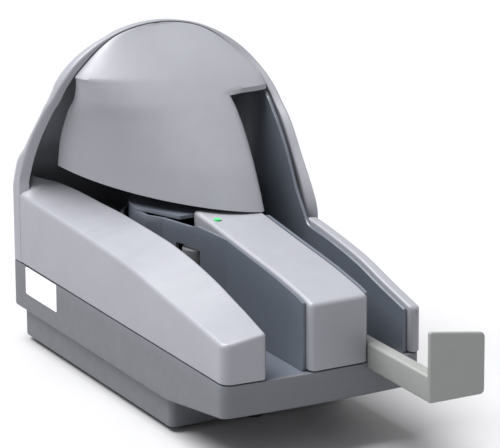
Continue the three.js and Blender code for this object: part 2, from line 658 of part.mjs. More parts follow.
function headRoom(angle, side) {
  const { width, depth, high } = headPlaces.find((head) => head.angle === angle && head.side === side);
  return headShape(angle, side, width, depth, guideBottom - 5, guideBottom + high + gap, gap);
}

function heads() {
  for (const { name, angle, side, width, depth, high } of headPlaces) {
    const material = name === 'magnetic_head' ? magnetGrey : inkBlack;
    place(name, headShape(angle, side, width, depth, guideBottom, guideBottom + high, 0), material);
  }
}

// Upright shafts in deck bushes: three are driven by the belt, and the feed and franking shafts run free.
function rollers() {
  stations.forEach(([x, y], i) => {
    const name = stationNames[i];
    const driven = i < driveAngles.length;
    const radius = [driveRadius, driveRadius, driveRadius, feedRadius, frankRadius][i];
    const axle = rod(x, y, shaftRadius, driven ? pulleyLow : pulleyHigh, tyreTop + 3);
    const shaft = driven ? join(axle, rod(x, y, pulleyRadius, pulleyLow, pulleyHigh, 24),
      rod(x, y, pulleyRadius + 1.6, pulleyLow, pulleyLow + 1, 24)) : axle;
    const bore = rod(x, y, shaftRadius + bearingGap, 0, crownHeight);
    const tyre = cut(rod(x, y, radius, tyreLow, tyreTop, 28), bore);
    place(driven ? `drive_shaft_${name}` : `${name}_shaft`, shaft, steel);
    place(driven ? `drive_tyre_${name}` : `${name}_roller`, tyre, name === 'franking' ? inkBlack : greyRubber);
    place(`shaft_bush_${name}`, cut(rod(x, y, bushRadius, deckBottom - 1, deckTop + 2, 20), bore), darkPlastic);
  });
}

// Idle rollers press the paper against the driven ones; each runs on a pin held by a swinging arm.
function pinchRollers() {
  const names = ['entry', 'rear', 'exit'];
  pinchPlaces.forEach(([x, y], i) => {
    place(`pinch_roller_${names[i]}`, cut(rod(x, y, pinchRadius, tyreLow + 4, tyreTop - 4, 24),
      rod(x, y, pinRadius + bearingGap, 0, crownHeight, 16)), greyRubber);
    place(`pinch_pin_${names[i]}`, rod(x, y, pinRadius, deckBottom, tyreTop, 16), steel);
  });
  const [sx, sy] = separatorPlace;
  place('separator_roller', cut(rod(sx, sy, pinchRadius, tyreLow + 4, tyreTop - 4, 24),
    rod(sx, sy, pinRadius + bearingGap, 0, crownHeight, 16)), greyRubber);
  place('separator_pin', rod(sx, sy, pinRadius, deckTop + gap, tyreTop, 16), steel);
}

// Sprung flag that presses the stack towards the feed roller, on an upright pin behind the entry guide.
function hopperPusher() {
  const [x, y] = pusherPlace;
  const low = guideBottom + 8;
  const high = guideBottom + 28;
  const hub = rod(x, y, 4, low, high, 20);
  const flag = block(x, x + 3, y, y + 42, low, high);
  const bend = block(x, hopperLeft - 0.5, y + 39, y + 42, low, high);
  const bore = rod(x, y, pinRadius + bearingGap, 0, crownHeight, 16);
  place('hopper_pusher', cut(join(hub, flag, bend), bore), darkPlastic);
  place('pusher_pin', rod(x, y, pinRadius, deckBottom, high + 3, 16), steel);
}

// Outline round a set of circles, as a belt lies on its pulleys.
function beltOutline(circles, grow) {
  const points = circles.flatMap(([x, y, radius]) => arc(x, y, radius + grow, 0, 345, 23));
  points.sort((a, b) => a[0] - b[0] || a[1] - b[1]);
  const turn = (o, a, b) => (a[0] - o[0]) * (b[1] - o[1]) - (a[1] - o[1]) * (b[0] - o[0]);
  const half = (list) => list.reduce((chain, point) => {
    while (chain.length > 1 && turn(...chain.slice(-2), point) <= 0) chain.pop();
    chain.push(point);
    return chain;
  }, []);
  return [...half(points).slice(0, -1), ...half([...points].reverse()).slice(0, -1)];
}

function motorAndBelt() {
  const [x, y] = motorPlace;
  const low = wall + gap;
  const high = low + motorHeight;
  const boss = 1.5;
  place('drive_motor', join(rod(x, y, motorRadius, low, high, 32), rod(x, y, 5, low, high + boss, 20)),
    magnetGrey);
  place('motor_pulley', join(rod(x, y, pulleyRadius, pulleyLow, pulleyHigh, 24),
    rod(x, y, 2, high + boss + gap, pulleyHigh, 16)), steel);
  const circles = [...drivePlaces, motorPlace].map(([cx, cy]) => [cx, cy, pulleyRadius]);
  const beltLow = pulleyLow + (pulleyHeight - beltHeight) / 2 + 0.5;
  place('drive_belt', cut(standing(beltOutline(circles, gap + beltThick), beltLow, beltLow + beltHeight),
    standing(beltOutline(circles, gap), 0, crownHeight)), blackRubber);
}

function electronics() {
  const low = wall + gap;
  place('circuit_board', cut(block(12, bodyWidth - 12, skirtFront + 10, turnY - 50, low, low + 1.6),
    ...postPlaces.map(([x, y]) => rod(x, y, postRadius + 1, 0, crownHeight))), boardGreen);
  const [jackX, portX] = socketPlaces;
  const middleZ = (socketLow + socketHigh) / 2;
  const along = (radius, front, back) => solidOf(new THREE.CylinderGeometry(radius, radius, back - front, 20)
    .translate(jackX, (front + back) / 2, middleZ));
  const mouth = bodyLength + 1;
  const jack = cut(socketBlock(jackX, 0, 0), along(3.2, bodyLength - 10, mouth));
  place('power_jack', join(jack, along(0.9, bodyLength - 12, bodyLength - 1.5)), inkBlack);
  const hole = block(portX - 4.2, portX + 4.2, bodyLength - 9, mouth, middleZ - 3.6, middleZ + 3.6);
  const tongue = block(portX - 2.8, portX + 2.8, bodyLength - 10, bodyLength - 1.5,
    middleZ - 1.2, middleZ + 1.6);
  place('usb_port', join(cut(socketBlock(portX, 0, 0), hole), tongue), steel);
}

// Ink cartridge in its holder, facing the track opposite the franking roller.
function inkCartridge() {
  const near = turnOuter + guideThick + 1;
  const holder = new THREE.BoxGeometry(30, 20, 40).translate(near + 15, 0, guideBottom + 20);
  const pocket = new THREE.BoxGeometry(30, 16, 44).translate(near + 17, 0, guideBottom + 24);
  const cartridge = new THREE.BoxGeometry(26, 16 - 2 * gap, 42)
    .translate(near + 16, 0, guideBottom + 23.4 + gap);
  const nozzle = new THREE.BoxGeometry(10, 6, 10).translate(near - 2, 0, guideBottom + 24);
  const [a, b, c, d] = [holder, pocket, cartridge, nozzle].map((geometry) => solidOf(
    geometry.rotateZ(THREE.MathUtils.degToRad(frankAngle)).translate(turnX, turnY, 0)));
  place('cartridge_holder', cut(a, b, d), darkPlastic);
  place('ink_cartridge', c, inkBlack);
}

function labelAndLens() {
  place('label_plate', block(gap / 2, 1 - gap, labelFront + gap, labelBack - gap, labelLow + gap,
    baseTop - gap), labelWhite);
  const top = curve(islandRise)(lensPlace[1]);
  place('status_lens', rod(...lensPlace, lensRadius, top - wall, top + 0.8, 20), lensGreen);
}

function deckScrews() {
  postPlaces.forEach(([x, y], i) => {
    place(`deck_screw_${i + 1}`, join(rod(x, y, screwRadius - 0.15, deckBottom - 8, deckTop, 12),
      rod(x, y, 2.8, deckTop, deckTop + 2, 16)).translate([0, 0, gap]), steel);
  });
}

place('base_pan', basePan(), basePlastic);
place('upper_housing', upperHousing(), silverPlastic);
place('access_cover', accessCover(), silverPlastic);
place('island_cover', islandCover(), silverPlastic);
place('track_deck', trackDeck(), darkPlastic);
place('entry_guide', entryGuide(), darkPlastic);
place('exit_guide', exitGuide(), darkPlastic);
place('inner_guide', innerGuide(), darkPlastic);
place('track_cover', trackCover(), darkPlastic);
place('exit_tray', exitTray(), trayPlastic);
feet();
heads();
rollers();
pinchRollers();
hopperPusher();
motorAndBelt();
electronics();
inkCartridge();
labelAndLens();
deckScrews();

export default group;
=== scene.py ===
"""Looks of a desktop cheque scanner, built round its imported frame.

Lengths are millimetres in the maker's own frame: x from the left side, y back from the front face and z up
from the skirt's foot. `Mould` turns them into the frame's metres when a mesh is finished.
"""
import json
import logging
import math
from collections.abc import Callable, Sequence
from dataclasses import dataclass, field
from enum import Enum

import bmesh
import bpy
import numpy as np
from mathutils import Matrix, Vector


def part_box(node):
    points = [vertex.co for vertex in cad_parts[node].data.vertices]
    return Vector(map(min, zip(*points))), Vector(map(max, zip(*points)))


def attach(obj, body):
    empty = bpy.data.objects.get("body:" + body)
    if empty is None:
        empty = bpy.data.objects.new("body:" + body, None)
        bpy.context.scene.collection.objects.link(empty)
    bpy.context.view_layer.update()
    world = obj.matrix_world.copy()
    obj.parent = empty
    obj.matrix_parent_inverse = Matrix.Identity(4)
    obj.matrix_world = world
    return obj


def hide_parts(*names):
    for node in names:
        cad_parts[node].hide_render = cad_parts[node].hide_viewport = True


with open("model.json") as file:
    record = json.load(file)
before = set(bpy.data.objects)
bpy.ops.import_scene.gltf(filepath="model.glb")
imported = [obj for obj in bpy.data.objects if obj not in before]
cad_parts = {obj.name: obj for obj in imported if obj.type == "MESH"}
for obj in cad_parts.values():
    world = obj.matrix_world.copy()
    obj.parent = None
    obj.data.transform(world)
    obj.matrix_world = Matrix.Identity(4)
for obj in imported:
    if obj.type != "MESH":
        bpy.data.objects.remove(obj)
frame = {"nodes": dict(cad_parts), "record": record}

Array = np.ndarray
Tree = bpy.types.NodeTree
Socket = bpy.types.NodeSocket
log = logging.getLogger("cheque_scanner")
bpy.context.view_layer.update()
MM = 0.001
BODY_LENGTH = 276.0
PAN_LOW, PAN_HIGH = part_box("base_pan")
ORIGIN = np.array([PAN_LOW.x, PAN_HIGH.y - BODY_LENGTH * MM, PAN_LOW.z])
BODY_WIDTH = (PAN_HIGH.x - PAN_LOW.x) / MM
HOUSING_FOOT = 48.4  # height of the housing's lower edge, just above the base
FRONT_BOW = 2.4  # how far the front bulges forward at the middle of its width
BOW_FADE = 20.0  # depth at which that bulge has died out
RIM_STEPS = 4  # spans of a tyre's rounded rim
NEVER = 300.0  # a height above everything


def local(node: str) -> tuple[Array, Array]:
    """Lowest and highest corner of a CAD node in the maker's frame.

    Args:
        node: the node's name.

    Returns:
        The two corners in millimetres.
    """
    low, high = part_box(node)
    return (np.array(low) - ORIGIN) / MM, (np.array(high) - ORIGIN) / MM


class Curve:
    """Smooth curve through points, with slopes that never overshoot (harmonic mean of the chords)."""

    def __init__(self, points: Sequence[tuple[float, float]]) -> None:
        """Works out the slopes.

        Args:
            points: position and value pairs, in rising order of position.
        """
        self.at, self.value = np.array(points, float).T
        chord = np.diff(self.value) / np.diff(self.at)
        before, after = chord[:-1], chord[1:]
        same = before * after > 0
        total = np.where(same, before + after, 1.0)
        inner = np.where(same, 2 * before * after / total, 0.0)
        self.slope = np.concatenate([chord[:1], inner, chord[-1:]])

    def __call__(self, at: Array | float) -> Array:
        """Cubic Hermite value: s3(s) runs the value and its slopes over each span.

        Args:
            at: positions.

        Returns:
            The curve's values there.
        """
        t = np.clip(at, self.at[0], self.at[-1])
        i = np.clip(np.searchsorted(self.at, t, side="right") - 1, 0, len(self.at) - 2)
        h = self.at[i + 1] - self.at[i]
        s = (t - self.at[i]) / h
        rise = self.value[i] * (2 * s**3 - 3 * s**2 + 1) + self.value[i + 1] * (3 * s**2 - 2 * s**3)
        return rise + h * (self.slope[i] * (s**3 - 2 * s**2 + s) + self.slope[i + 1] * (s**3 - s**2))


def curve(*points: tuple[float, float]) -> Curve:
    """A dataclass field that holds the curve through the points."""
    return field(default_factory=lambda: Curve(points))


def ease(t: Array | float) -> Array:
    """Smooth step from 0 to 1: 3t squared less 2t cubed, held flat outside."""
    s = np.clip(t, 0.0, 1.0)
    return s * s * (3 - 2 * s)


def quarter(count: int) -> Array:
    """Evenly spaced angles from 0 to a quarter turn."""
    return np.linspace(0, math.pi / 2, count)


def bowed(x: Array, y: Array) -> Array:
    """Moves the front forward by a parabola across the width, 4s(1 - s), which fades out behind it.

    Args:
        x: distances from the left side.
        y: depths.

    Returns:
        The bowed depths.
    """
    s = np.clip(x / BODY_WIDTH, 0, 1)
    return y - 4 * FRONT_BOW * s * (1 - s) * (1 - ease(y / BOW_FADE))


def stations(*runs: tuple[float, float, int]) -> Array:
    """Positions of several even runs one after another, without repeats.

    Args:
        runs: start, end and number of steps of each.

    Returns:
        The sorted positions.
    """
    return np.unique(np.concatenate([np.linspace(a, b, n + 1) for a, b, n in runs]).round(5))


def rounded_ring(corners: Array, radii: Array, steps: int = 6) -> Array:
    """Closed outlines with rounded corners.

    Each corner becomes a circular arc that touches both of its sides: its centre lies on the corner's
    bisector, and the arc swings between the two points where the sides touch it.

    Args:
        corners: (stack, corner, 2) outline corners.
        radii: (stack, corner) or (corner,) radii.
        steps: spans of each arc.

    Returns:
        (stack, corner * (steps + 1), 2) points.
    """
    radii = np.broadcast_to(radii, corners.shape[:2])[..., None]
    to_last = np.roll(corners, 1, 1) - corners
    to_next = np.roll(corners, -1, 1) - corners
    a = to_last / np.linalg.norm(to_last, axis=-1, keepdims=True)
    b = to_next / np.linalg.norm(to_next, axis=-1, keepdims=True)
    half = np.arccos(np.clip((a * b).sum(-1, keepdims=True), -1, 1)) / 2
    start = corners + a * radii / np.tan(half)
    end = corners + b * radii / np.tan(half)
    bisector = (a + b) / np.maximum(np.linalg.norm(a + b, axis=-1, keepdims=True), 1e-9)
    centre = corners + bisector * radii / np.sin(half)
    swing = np.maximum(math.pi - 2 * half, 1e-5)[:, :, None]
    k = np.linspace(0, 1, steps + 1)[None, None, :, None]
    arms = np.sin((1 - k) * swing) * (start - centre)[:, :, None]
    arms = arms + np.sin(k * swing) * (end - centre)[:, :, None]
    points = centre[:, :, None] + arms / np.sin(swing)
    return points.reshape(len(corners), -1, 2)


def columns(*parts: Array | float) -> Array:
    """Stacks coordinates into points, after spreading them all to one shape."""
    return np.stack(np.broadcast_arrays(*parts), -1)


def section(*corners: tuple[Array, Array]) -> Array:
    """Stacks corners, each a pair of arrays over the stations, into (station, corner, 2) outlines."""
    return np.stack([columns(*pair) for pair in corners], 1)


def flat_side(ring: Array, corner: int, corners: int) -> Array:
    """Mask of a rounded outline's columns that holds only the flat side after a corner, counted from 1."""
    return np.arange(ring.shape[1]) == corner * (ring.shape[1] // corners) - 1


# ---- Finishes --------------------------------------------------------------------------------------
class Surface(Enum):
    """How a surface was made."""

    SPARKED = "moulded in a spark-eroded tool"
    POLISHED = "moulded in a polished tool"
    GROUND = "ground rubber"
    TURNED = "turned metal"
    BOARD = "etched board under solder resist"
    FOIL = "blank satin foil"
    FLOOR = "sealed table top"


def linear(hex_colour: str) -> tuple[float, float, float, float]:
    """Linear colour of an sRGB hex value.

    Args:
        hex_colour: such as "#b4b5bb".

    Returns:
        Red, green, blue and alpha.
    """
    values = [int(hex_colour[i : i + 2], 16) / 255 for i in (1, 3, 5)]
    r, g, b = [v / 12.92 if v <= 0.04045 else ((v + 0.055) / 1.055) ** 2.4 for v in values]
    return (r, g, b, 1.0)


def add(tree: Tree, kind: str, inputs: dict | None = None, **settings) -> bpy.types.Node:
    """Adds a node with its settings, values and links.

    Args:
        tree: the node tree.
        kind: the node's type.
        inputs: values or output sockets by input name or number.
        settings: the node's own properties.

    Returns:
        The node.
    """
    node = tree.nodes.new(kind)
    for name, value in settings.items():
        setattr(node, name, value)
    for name, value in (inputs or {}).items():
        if isinstance(value, Socket):
            tree.links.new(value, node.inputs[name])
        else:
            node.inputs[name].default_value = value
    return node


def mixed(tree: Tree, share: Socket, first, second) -> Socket:
    """Mixes two colours, each a value or a socket.

    Args:
        tree: the node tree.
        share: how much of the second.
        first: the first colour.
        second: the second colour.

    Returns:
        The mixed colour.
    """
    mix = add(tree, "ShaderNodeMix", {0: share, 6: first, 7: second}, data_type="RGBA")
    return mix.outputs[2]


@dataclass(frozen=True)
class Finish:
    """One real material: its colour, gloss and the size of its surface marks."""

    name: str
    colour: str
    surface: Surface
    roughness: float
    ior: float = 1.5
    metallic: float = 0.0
    grain_mm: float = 0.9
    grain_depth: float = 0.12
    mottle: float = 0.05
    mottle_mm: float = 28.0
    coat: float = 0.0

    def make(self) -> bpy.types.Material:
        """Builds the node material once, and gives it back after that.

        Returns:
            The material.
        """
        if self.name in bpy.data.materials:
            return bpy.data.materials[self.name]
        made = bpy.data.materials.new(self.name)
        made.use_nodes = True
        tree = made.node_tree
        tree.nodes.clear()
        place = add(tree, "ShaderNodeTexCoord").outputs["Object"]
        broad = self._noise(tree, place, self.mottle_mm, 3.0)
        tone = linear(self.colour)
        dark = tuple(c * (1 - 1.6 * self.mottle) for c in tone[:3]) + (1.0,)
        light = tuple(min(c * (1 + self.mottle), 1.0) for c in tone[:3]) + (1.0,)
        colour = self._marks(tree, place, mixed(tree, broad, dark, light))
        rough = add(tree, "ShaderNodeMapRange", {
            "Value": self._noise(tree, place, self.mottle_mm / 4, 5.0), "From Min": 0.3, "From Max": 0.7,
            "To Min": max(self.roughness - 0.05, 0.03), "To Max": self.roughness + 0.06}).outputs[0]
        shader = add(tree, "ShaderNodeBsdfPrincipled", {
            "Base Color": colour, "Roughness": rough, "IOR": self.ior, "Metallic": self.metallic,
            "Coat Weight": self.coat, "Coat Roughness": 0.12, "Normal": self._relief(tree, place)})
        add(tree, "ShaderNodeOutputMaterial", {"Surface": shader.outputs[0]})
        return made

    def _noise(self, tree: Tree, place: Socket, size_mm: float, detail: float) -> Socket:
        """Cloudy noise whose blotches are about size_mm across.

        Args:
            tree: the node tree.
            place: the coordinates.
            size_mm: width of a blotch.
            detail: octaves.

        Returns:
            The value, from 0 to 1 about a half.
        """
        noise = add(tree, "ShaderNodeTexNoise", {
            "Vector": place, "Scale": 1.0 / (size_mm * MM), "Detail": detail, "Roughness": 0.55})
        return noise.outputs["Fac"]

    def _marks(self, tree: Tree, place: Socket, colour: Socket) -> Socket:
        """Colour marks of the making: tool lines, tracks or print.

        Args:
            tree: the node tree.
            place: the coordinates.
            colour: the colour so far.

        Returns:
            The colour with its marks.
        """
        if self.surface is Surface.BOARD:
            cells = add(tree, "ShaderNodeTexVoronoi", {"Vector": place, "Scale": 1 / (3.0 * MM)},
                        distance="CHEBYCHEV", feature="DISTANCE_TO_EDGE").outputs["Distance"]
            line = add(tree, "ShaderNodeMath", {0: cells, 1: 0.08}, operation="LESS_THAN").outputs[0]
            return mixed(tree, line, colour, linear("#7fa58c"))
        fleck = self._noise(tree, place, self.grain_mm * 1.4, 2.0)
        spread = add(tree, "ShaderNodeMapRange", {"Value": fleck, "From Min": 0.35, "From Max": 0.65,
                                                  "To Min": 0.0, "To Max": 0.1}).outputs[0]
        shade = tuple(c * 0.72 for c in linear(self.colour)[:3]) + (1.0,)
        return mixed(tree, spread, colour, shade)

    def _relief(self, tree: Tree, place: Socket) -> Socket:
        """Bump of the surface: pits of the tool, grinding, or rings left by turning.

        Args:
            tree: the node tree.
            place: the coordinates.

        Returns:
            The bumped normal.
        """
        if self.surface is Surface.TURNED:
            split = add(tree, "ShaderNodeSeparateXYZ", {"Vector": place}).outputs["Z"]
            rings = add(tree, "ShaderNodeMath", {0: split, 1: 2 * math.pi / (self.grain_mm * MM)},
                        operation="MULTIPLY").outputs[0]
            height = add(tree, "ShaderNodeMath", {0: rings}, operation="SINE").outputs[0]
        else:
            height = self._noise(tree, place, self.grain_mm, 2.0)
        bump = add(tree, "ShaderNodeBump", {
            "Height": height, "Strength": self.grain_depth, "Distance": self.grain_mm * MM * 0.25})
        return bump.outputs["Normal"]


# Acrylonitrile-butadiene-styrene moulded in a fine spark-eroded tool: satin, with a grain that is drawn
# about twice its real 0.4 mm so that it shows.
SILVER = Finish("moulded_abs_silver", "#898a91", Surface.SPARKED, 0.42, 1.53, grain_mm=0.8)
BASE_GREY = Finish("moulded_abs_base_grey", "#5c5e64", Surface.SPARKED, 0.5, 1.53, grain_mm=0.8)
# Polycarbonate blend from a polished tool: dark slate with a soft sheen that picks up streaks of light.
SLATE = Finish("polished_pc_slate", "#5a606a", Surface.POLISHED, 0.34, 1.58, grain_depth=0.04, mottle=0.08)
# The same silver plastic as the outside, made a little darker: painted shade for the insides of the hood
# and the cover.
HOOD_INSIDE_PAINTED_SHADE = Finish("moulded_abs_hood_inside_painted_shade", "#84868d", Surface.SPARKED, 0.6, 1.53, mottle=0.08)
TRAY_GREY = Finish("moulded_abs_tray_grey", "#838583", Surface.SPARKED, 0.45, 1.53, grain_mm=0.8)
# Carbon-filled natural rubber, moulded matt: almost no highlight.
FOOT_BLACK = Finish("moulded_rubber_black", "#1a1b1d", Surface.GROUND, 0.85, 1.52, grain_depth=0.3)
# Polyurethane tyres ground to size: a dusty, fine-grooved matt grey.
TYRE_GREY = Finish("ground_polyurethane_grey", "#55575a", Surface.GROUND, 0.8, 1.5, grain_mm=0.6,
                   grain_depth=0.35)
# Free-cutting steel turned on a lathe: bright, with fine rings across the light.
TURNED_STEEL = Finish("turned_steel", "#c4c6ca", Surface.TURNED, 0.28, 1.45, 1.0, 0.5, 0.2)
CAN_GREY = Finish("zinc_plated_can", "#85888c", Surface.TURNED, 0.42, 1.45, 1.0, 0.9, 0.1, mottle=0.1)
INK_BLACK = Finish("moulded_abs_black", "#1d1e21", Surface.POLISHED, 0.35, 1.53, grain_depth=0.06)
BOARD_GREEN = Finish("solder_resist_green", "#1f5d3a", Surface.BOARD, 0.35, 1.55)
# Satin polyester rating foil, left blank.
FOIL_WHITE = Finish("satin_foil_white", "#e2e2e4", Surface.FOIL, 0.32, 1.6, grain_depth=0.03, mottle=0.02)
LENS_GREEN = Finish("clear_acrylic_green", "#46c472", Surface.POLISHED, 0.12, 1.49, grain_depth=0.0,
                    coat=0.4)
FLOOR_PALE = Finish("sealed_pale_top", "#b0b0b2", Surface.FLOOR, 0.6, 1.45, grain_depth=0.02, mottle=0.01,
                    mottle_mm=300.0)


# ---- Mesh building ---------------------------------------------------------------------------------
@dataclass
class Mould:
    """Collects grids of points into one mesh in the maker's frame, and finishes it as an object."""

    name: str
    body: str
    finishes: Sequence[Finish]
    points: list[Array] = field(default_factory=list)
    quads: list[Array] = field(default_factory=list)
    caps: list[tuple[list[int], int]] = field(default_factory=list)
    slots: list[Array] = field(default_factory=list)
    count: int = 0

    def grid(self, points: Array, around: bool = False, slot: int | Array = 0,
             keep: Array | None = None) -> Array:
        """Adds a sheet of quads over rows and columns of points.

        Args:
            points: (row, column, 3) positions.
            around: joins the last column to the first.
            slot: finish number, or one for each cell.
            keep: cells to keep, as a mask over (row - 1, column spans).

        Returns:
            The (row, column) vertex numbers.
        """
        rows, columns = points.shape[:2]
        index = np.arange(rows * columns).reshape(rows, columns) + self.count
        right = np.roll(index, -1, 1) if around else index[:, 1:]
        left = index if around else index[:, :-1]
        quads = np.stack([left[:-1], right[:-1], right[1:], left[1:]], -1)
        mask = np.ones(quads.shape[:2], bool) if keep is None else keep
        self.points.append(points.reshape(-1, 3))
        self.quads.append(quads[mask])
        self.slots.append(np.broadcast_to(slot, mask.shape)[mask])
        self.count += rows * columns
        return index

    def cap(self, ring: Array, slot: int = 0) -> None:
        """Closes a ring of vertices with one flat face.

        Args:
            ring: vertex numbers in order.
            slot: finish number.
        """
        self.caps.append(([int(i) for i in ring], slot))

    def sweep(self, ring: Array, y: Array, bow: bool = False, keep: Array | None = None) -> None:
        """Carries (x, z) outlines back along y and closes both ends.

        Args:
            ring: (station, point, 2) outlines.
            y: depths of the stations.
            bow: bulges the front forward.
            keep: cells to keep, so that a window can be left open.
        """
        depth = bowed(ring[..., 0], y[:, None]) if bow else y[:, None]
        index = self.grid(columns(ring[..., 0], depth, ring[..., 1]), True, keep=keep)
        self.cap(index[0][::-1])
        self.cap(index[-1])

    def finish(self, replaces: Sequence[str] = (), slot: str | None = None, thick: float = 0.0,
               bevel: float = 0.0, sharp: float = 35.0, inside: int = 0) -> bpy.types.Object:
        """Makes the object: merges the seams, points the faces out, adds wall and edge rounding.

        Args:
            replaces: CAD nodes it stands for.
            slot: the record's material slot; not used.
            thick: wall thickness, put on inwards.
            bevel: radius of the edges.
            sharp: edges steeper than this many degrees stay sharp.
            inside: how many finishes further on the inner wall's finish is.

        Returns:
            The object, riding on its body.
        """
        points = np.concatenate(self.points) * MM + ORIGIN
        quads = np.concatenate(self.quads)
        faces = quads.tolist() + [ring for ring, _ in self.caps]
        mesh = bpy.data.meshes.new(self.name)
        mesh.from_pydata(points, [], faces)
        slots = np.concatenate([*self.slots, [number for _, number in self.caps]]).astype(np.int32)
        mesh.polygons.foreach_set("material_index", slots)
        made = bpy.data.objects.new(self.name, mesh)
        bpy.context.scene.collection.objects.link(made)
        work = bmesh.new()
        work.from_mesh(mesh)
        bmesh.ops.remove_doubles(work, verts=work.verts, dist=0.012 * MM)
        bmesh.ops.dissolve_degenerate(work, edges=work.edges, dist=0.004 * MM)
        bmesh.ops.recalc_face_normals(work, faces=work.faces)
        work.to_mesh(mesh)
        work.free()
        for finish in self.finishes:
            mesh.materials.append(finish.make())
        mesh.shade_smooth()
        mesh.set_sharp_from_angle(angle=math.radians(sharp))
        if thick:
            wall = made.modifiers.new("wall", "SOLIDIFY")
            wall.thickness = thick * MM
            wall.offset = -1.0
            wall.use_even_offset = False
            wall.material_offset = inside
        if bevel:
            edge = made.modifiers.new("edge", "BEVEL")
            edge.width = bevel * MM
            edge.segments = 2
            edge.limit_method = "ANGLE"
            edge.angle_limit = math.radians(50)
            edge.harden_normals = True
        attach(made, self.body)
        if replaces:
            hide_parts(*replaces)
        log.info("%s: %d faces, rides on %s", self.name, len(mesh.polygons), self.body)
        return made


def end_inset(depth: Array, radius: float) -> Array:
    """How far a rounded end draws in at a depth behind its face: radius less the quarter circle's height.

    Args:
        depth: distance behind the face.
        radius: the rounding.

    Returns:
        The inset.
    """
    d = np.clip(depth, 0, radius)
    return radius - np.sqrt(radius**2 - (radius - d) ** 2)


def end_depths(radius: float, steps: int = 6) -> Array:
    """Depths behind a rounded end that step evenly round its quarter circle."""
    return radius * (1 - np.cos(quarter(steps + 1)))


def block(mould: Mould, low: Sequence[float], high: Sequence[float], radii: float | Sequence[float],
          edge: float, fall: float = 0.0, steps: int = 5) -> None:
    """A block along y: its (x, z) outline has rounded corners, and both ends are rounded over.

    Args:
        mould: where it goes.
        low: lowest corner.
        high: highest corner.
        radii: corner radius, or one for each corner clockwise from the lower left.
        edge: rounding of the ends.
        fall: how much lower the top is at its right end.
        steps: spans of each corner.
    """
    length = high[1] - low[1]
    near = end_depths(edge, 4)
    y = np.concatenate([near, length - near[::-1]])
    inset = end_inset(np.minimum(y, length - y), edge)
    x0, x1, z0, z1 = low[0] + inset, high[0] - inset, low[2] + inset, high[2] - inset
    corners = section((x0, z0), (x0, z1), (x1, z1 - fall), (x1, z0))
    mould.sweep(rounded_ring(corners, radii, steps), low[1] + y)


def lathe(mould: Mould, centre: Array, profile: Sequence[tuple[float, float]], turns: int = 64) -> None:
    """Spins a profile of (radius, height) about an upright axis: x and y follow the cosine and sine.

    Args:
        mould: where it goes.
        centre: the axis, x and y.
        profile: radius and height from the foot upwards.
        turns: steps round.
    """
    radius, height = np.array(profile, float).T
    angle = np.linspace(0, 2 * math.pi, turns, endpoint=False)
    x = centre[0] + radius[:, None] * np.cos(angle)
    y = centre[1] + radius[:, None] * np.sin(angle)
    mould.grid(columns(x, y, height[:, None]), True)


def rounded_profile(radius: float, low: float, high: float, edge: float,
                    bore: float) -> list[tuple[float, float]]:
    """Profile of a disc or tyre with both rims rounded, closed on its bore.

    Args:
        radius: outside radius.
        low: underside height.
        high: top height.
        edge: rounding of the rims.
        bore: radius of the hole.

    Returns:
        Radius and height pairs, from the bore out, up and back in.
    """
    swing = quarter(RIM_STEPS + 1)
    foot = [(radius - edge + edge * math.sin(a), low + edge - edge * math.cos(a)) for a in swing]
    head = [(radius - edge + edge * math.cos(a), high - edge + edge * math.sin(a)) for a in swing]
    return [(bore, low), *foot, *head, (bore, high), (bore, low)]


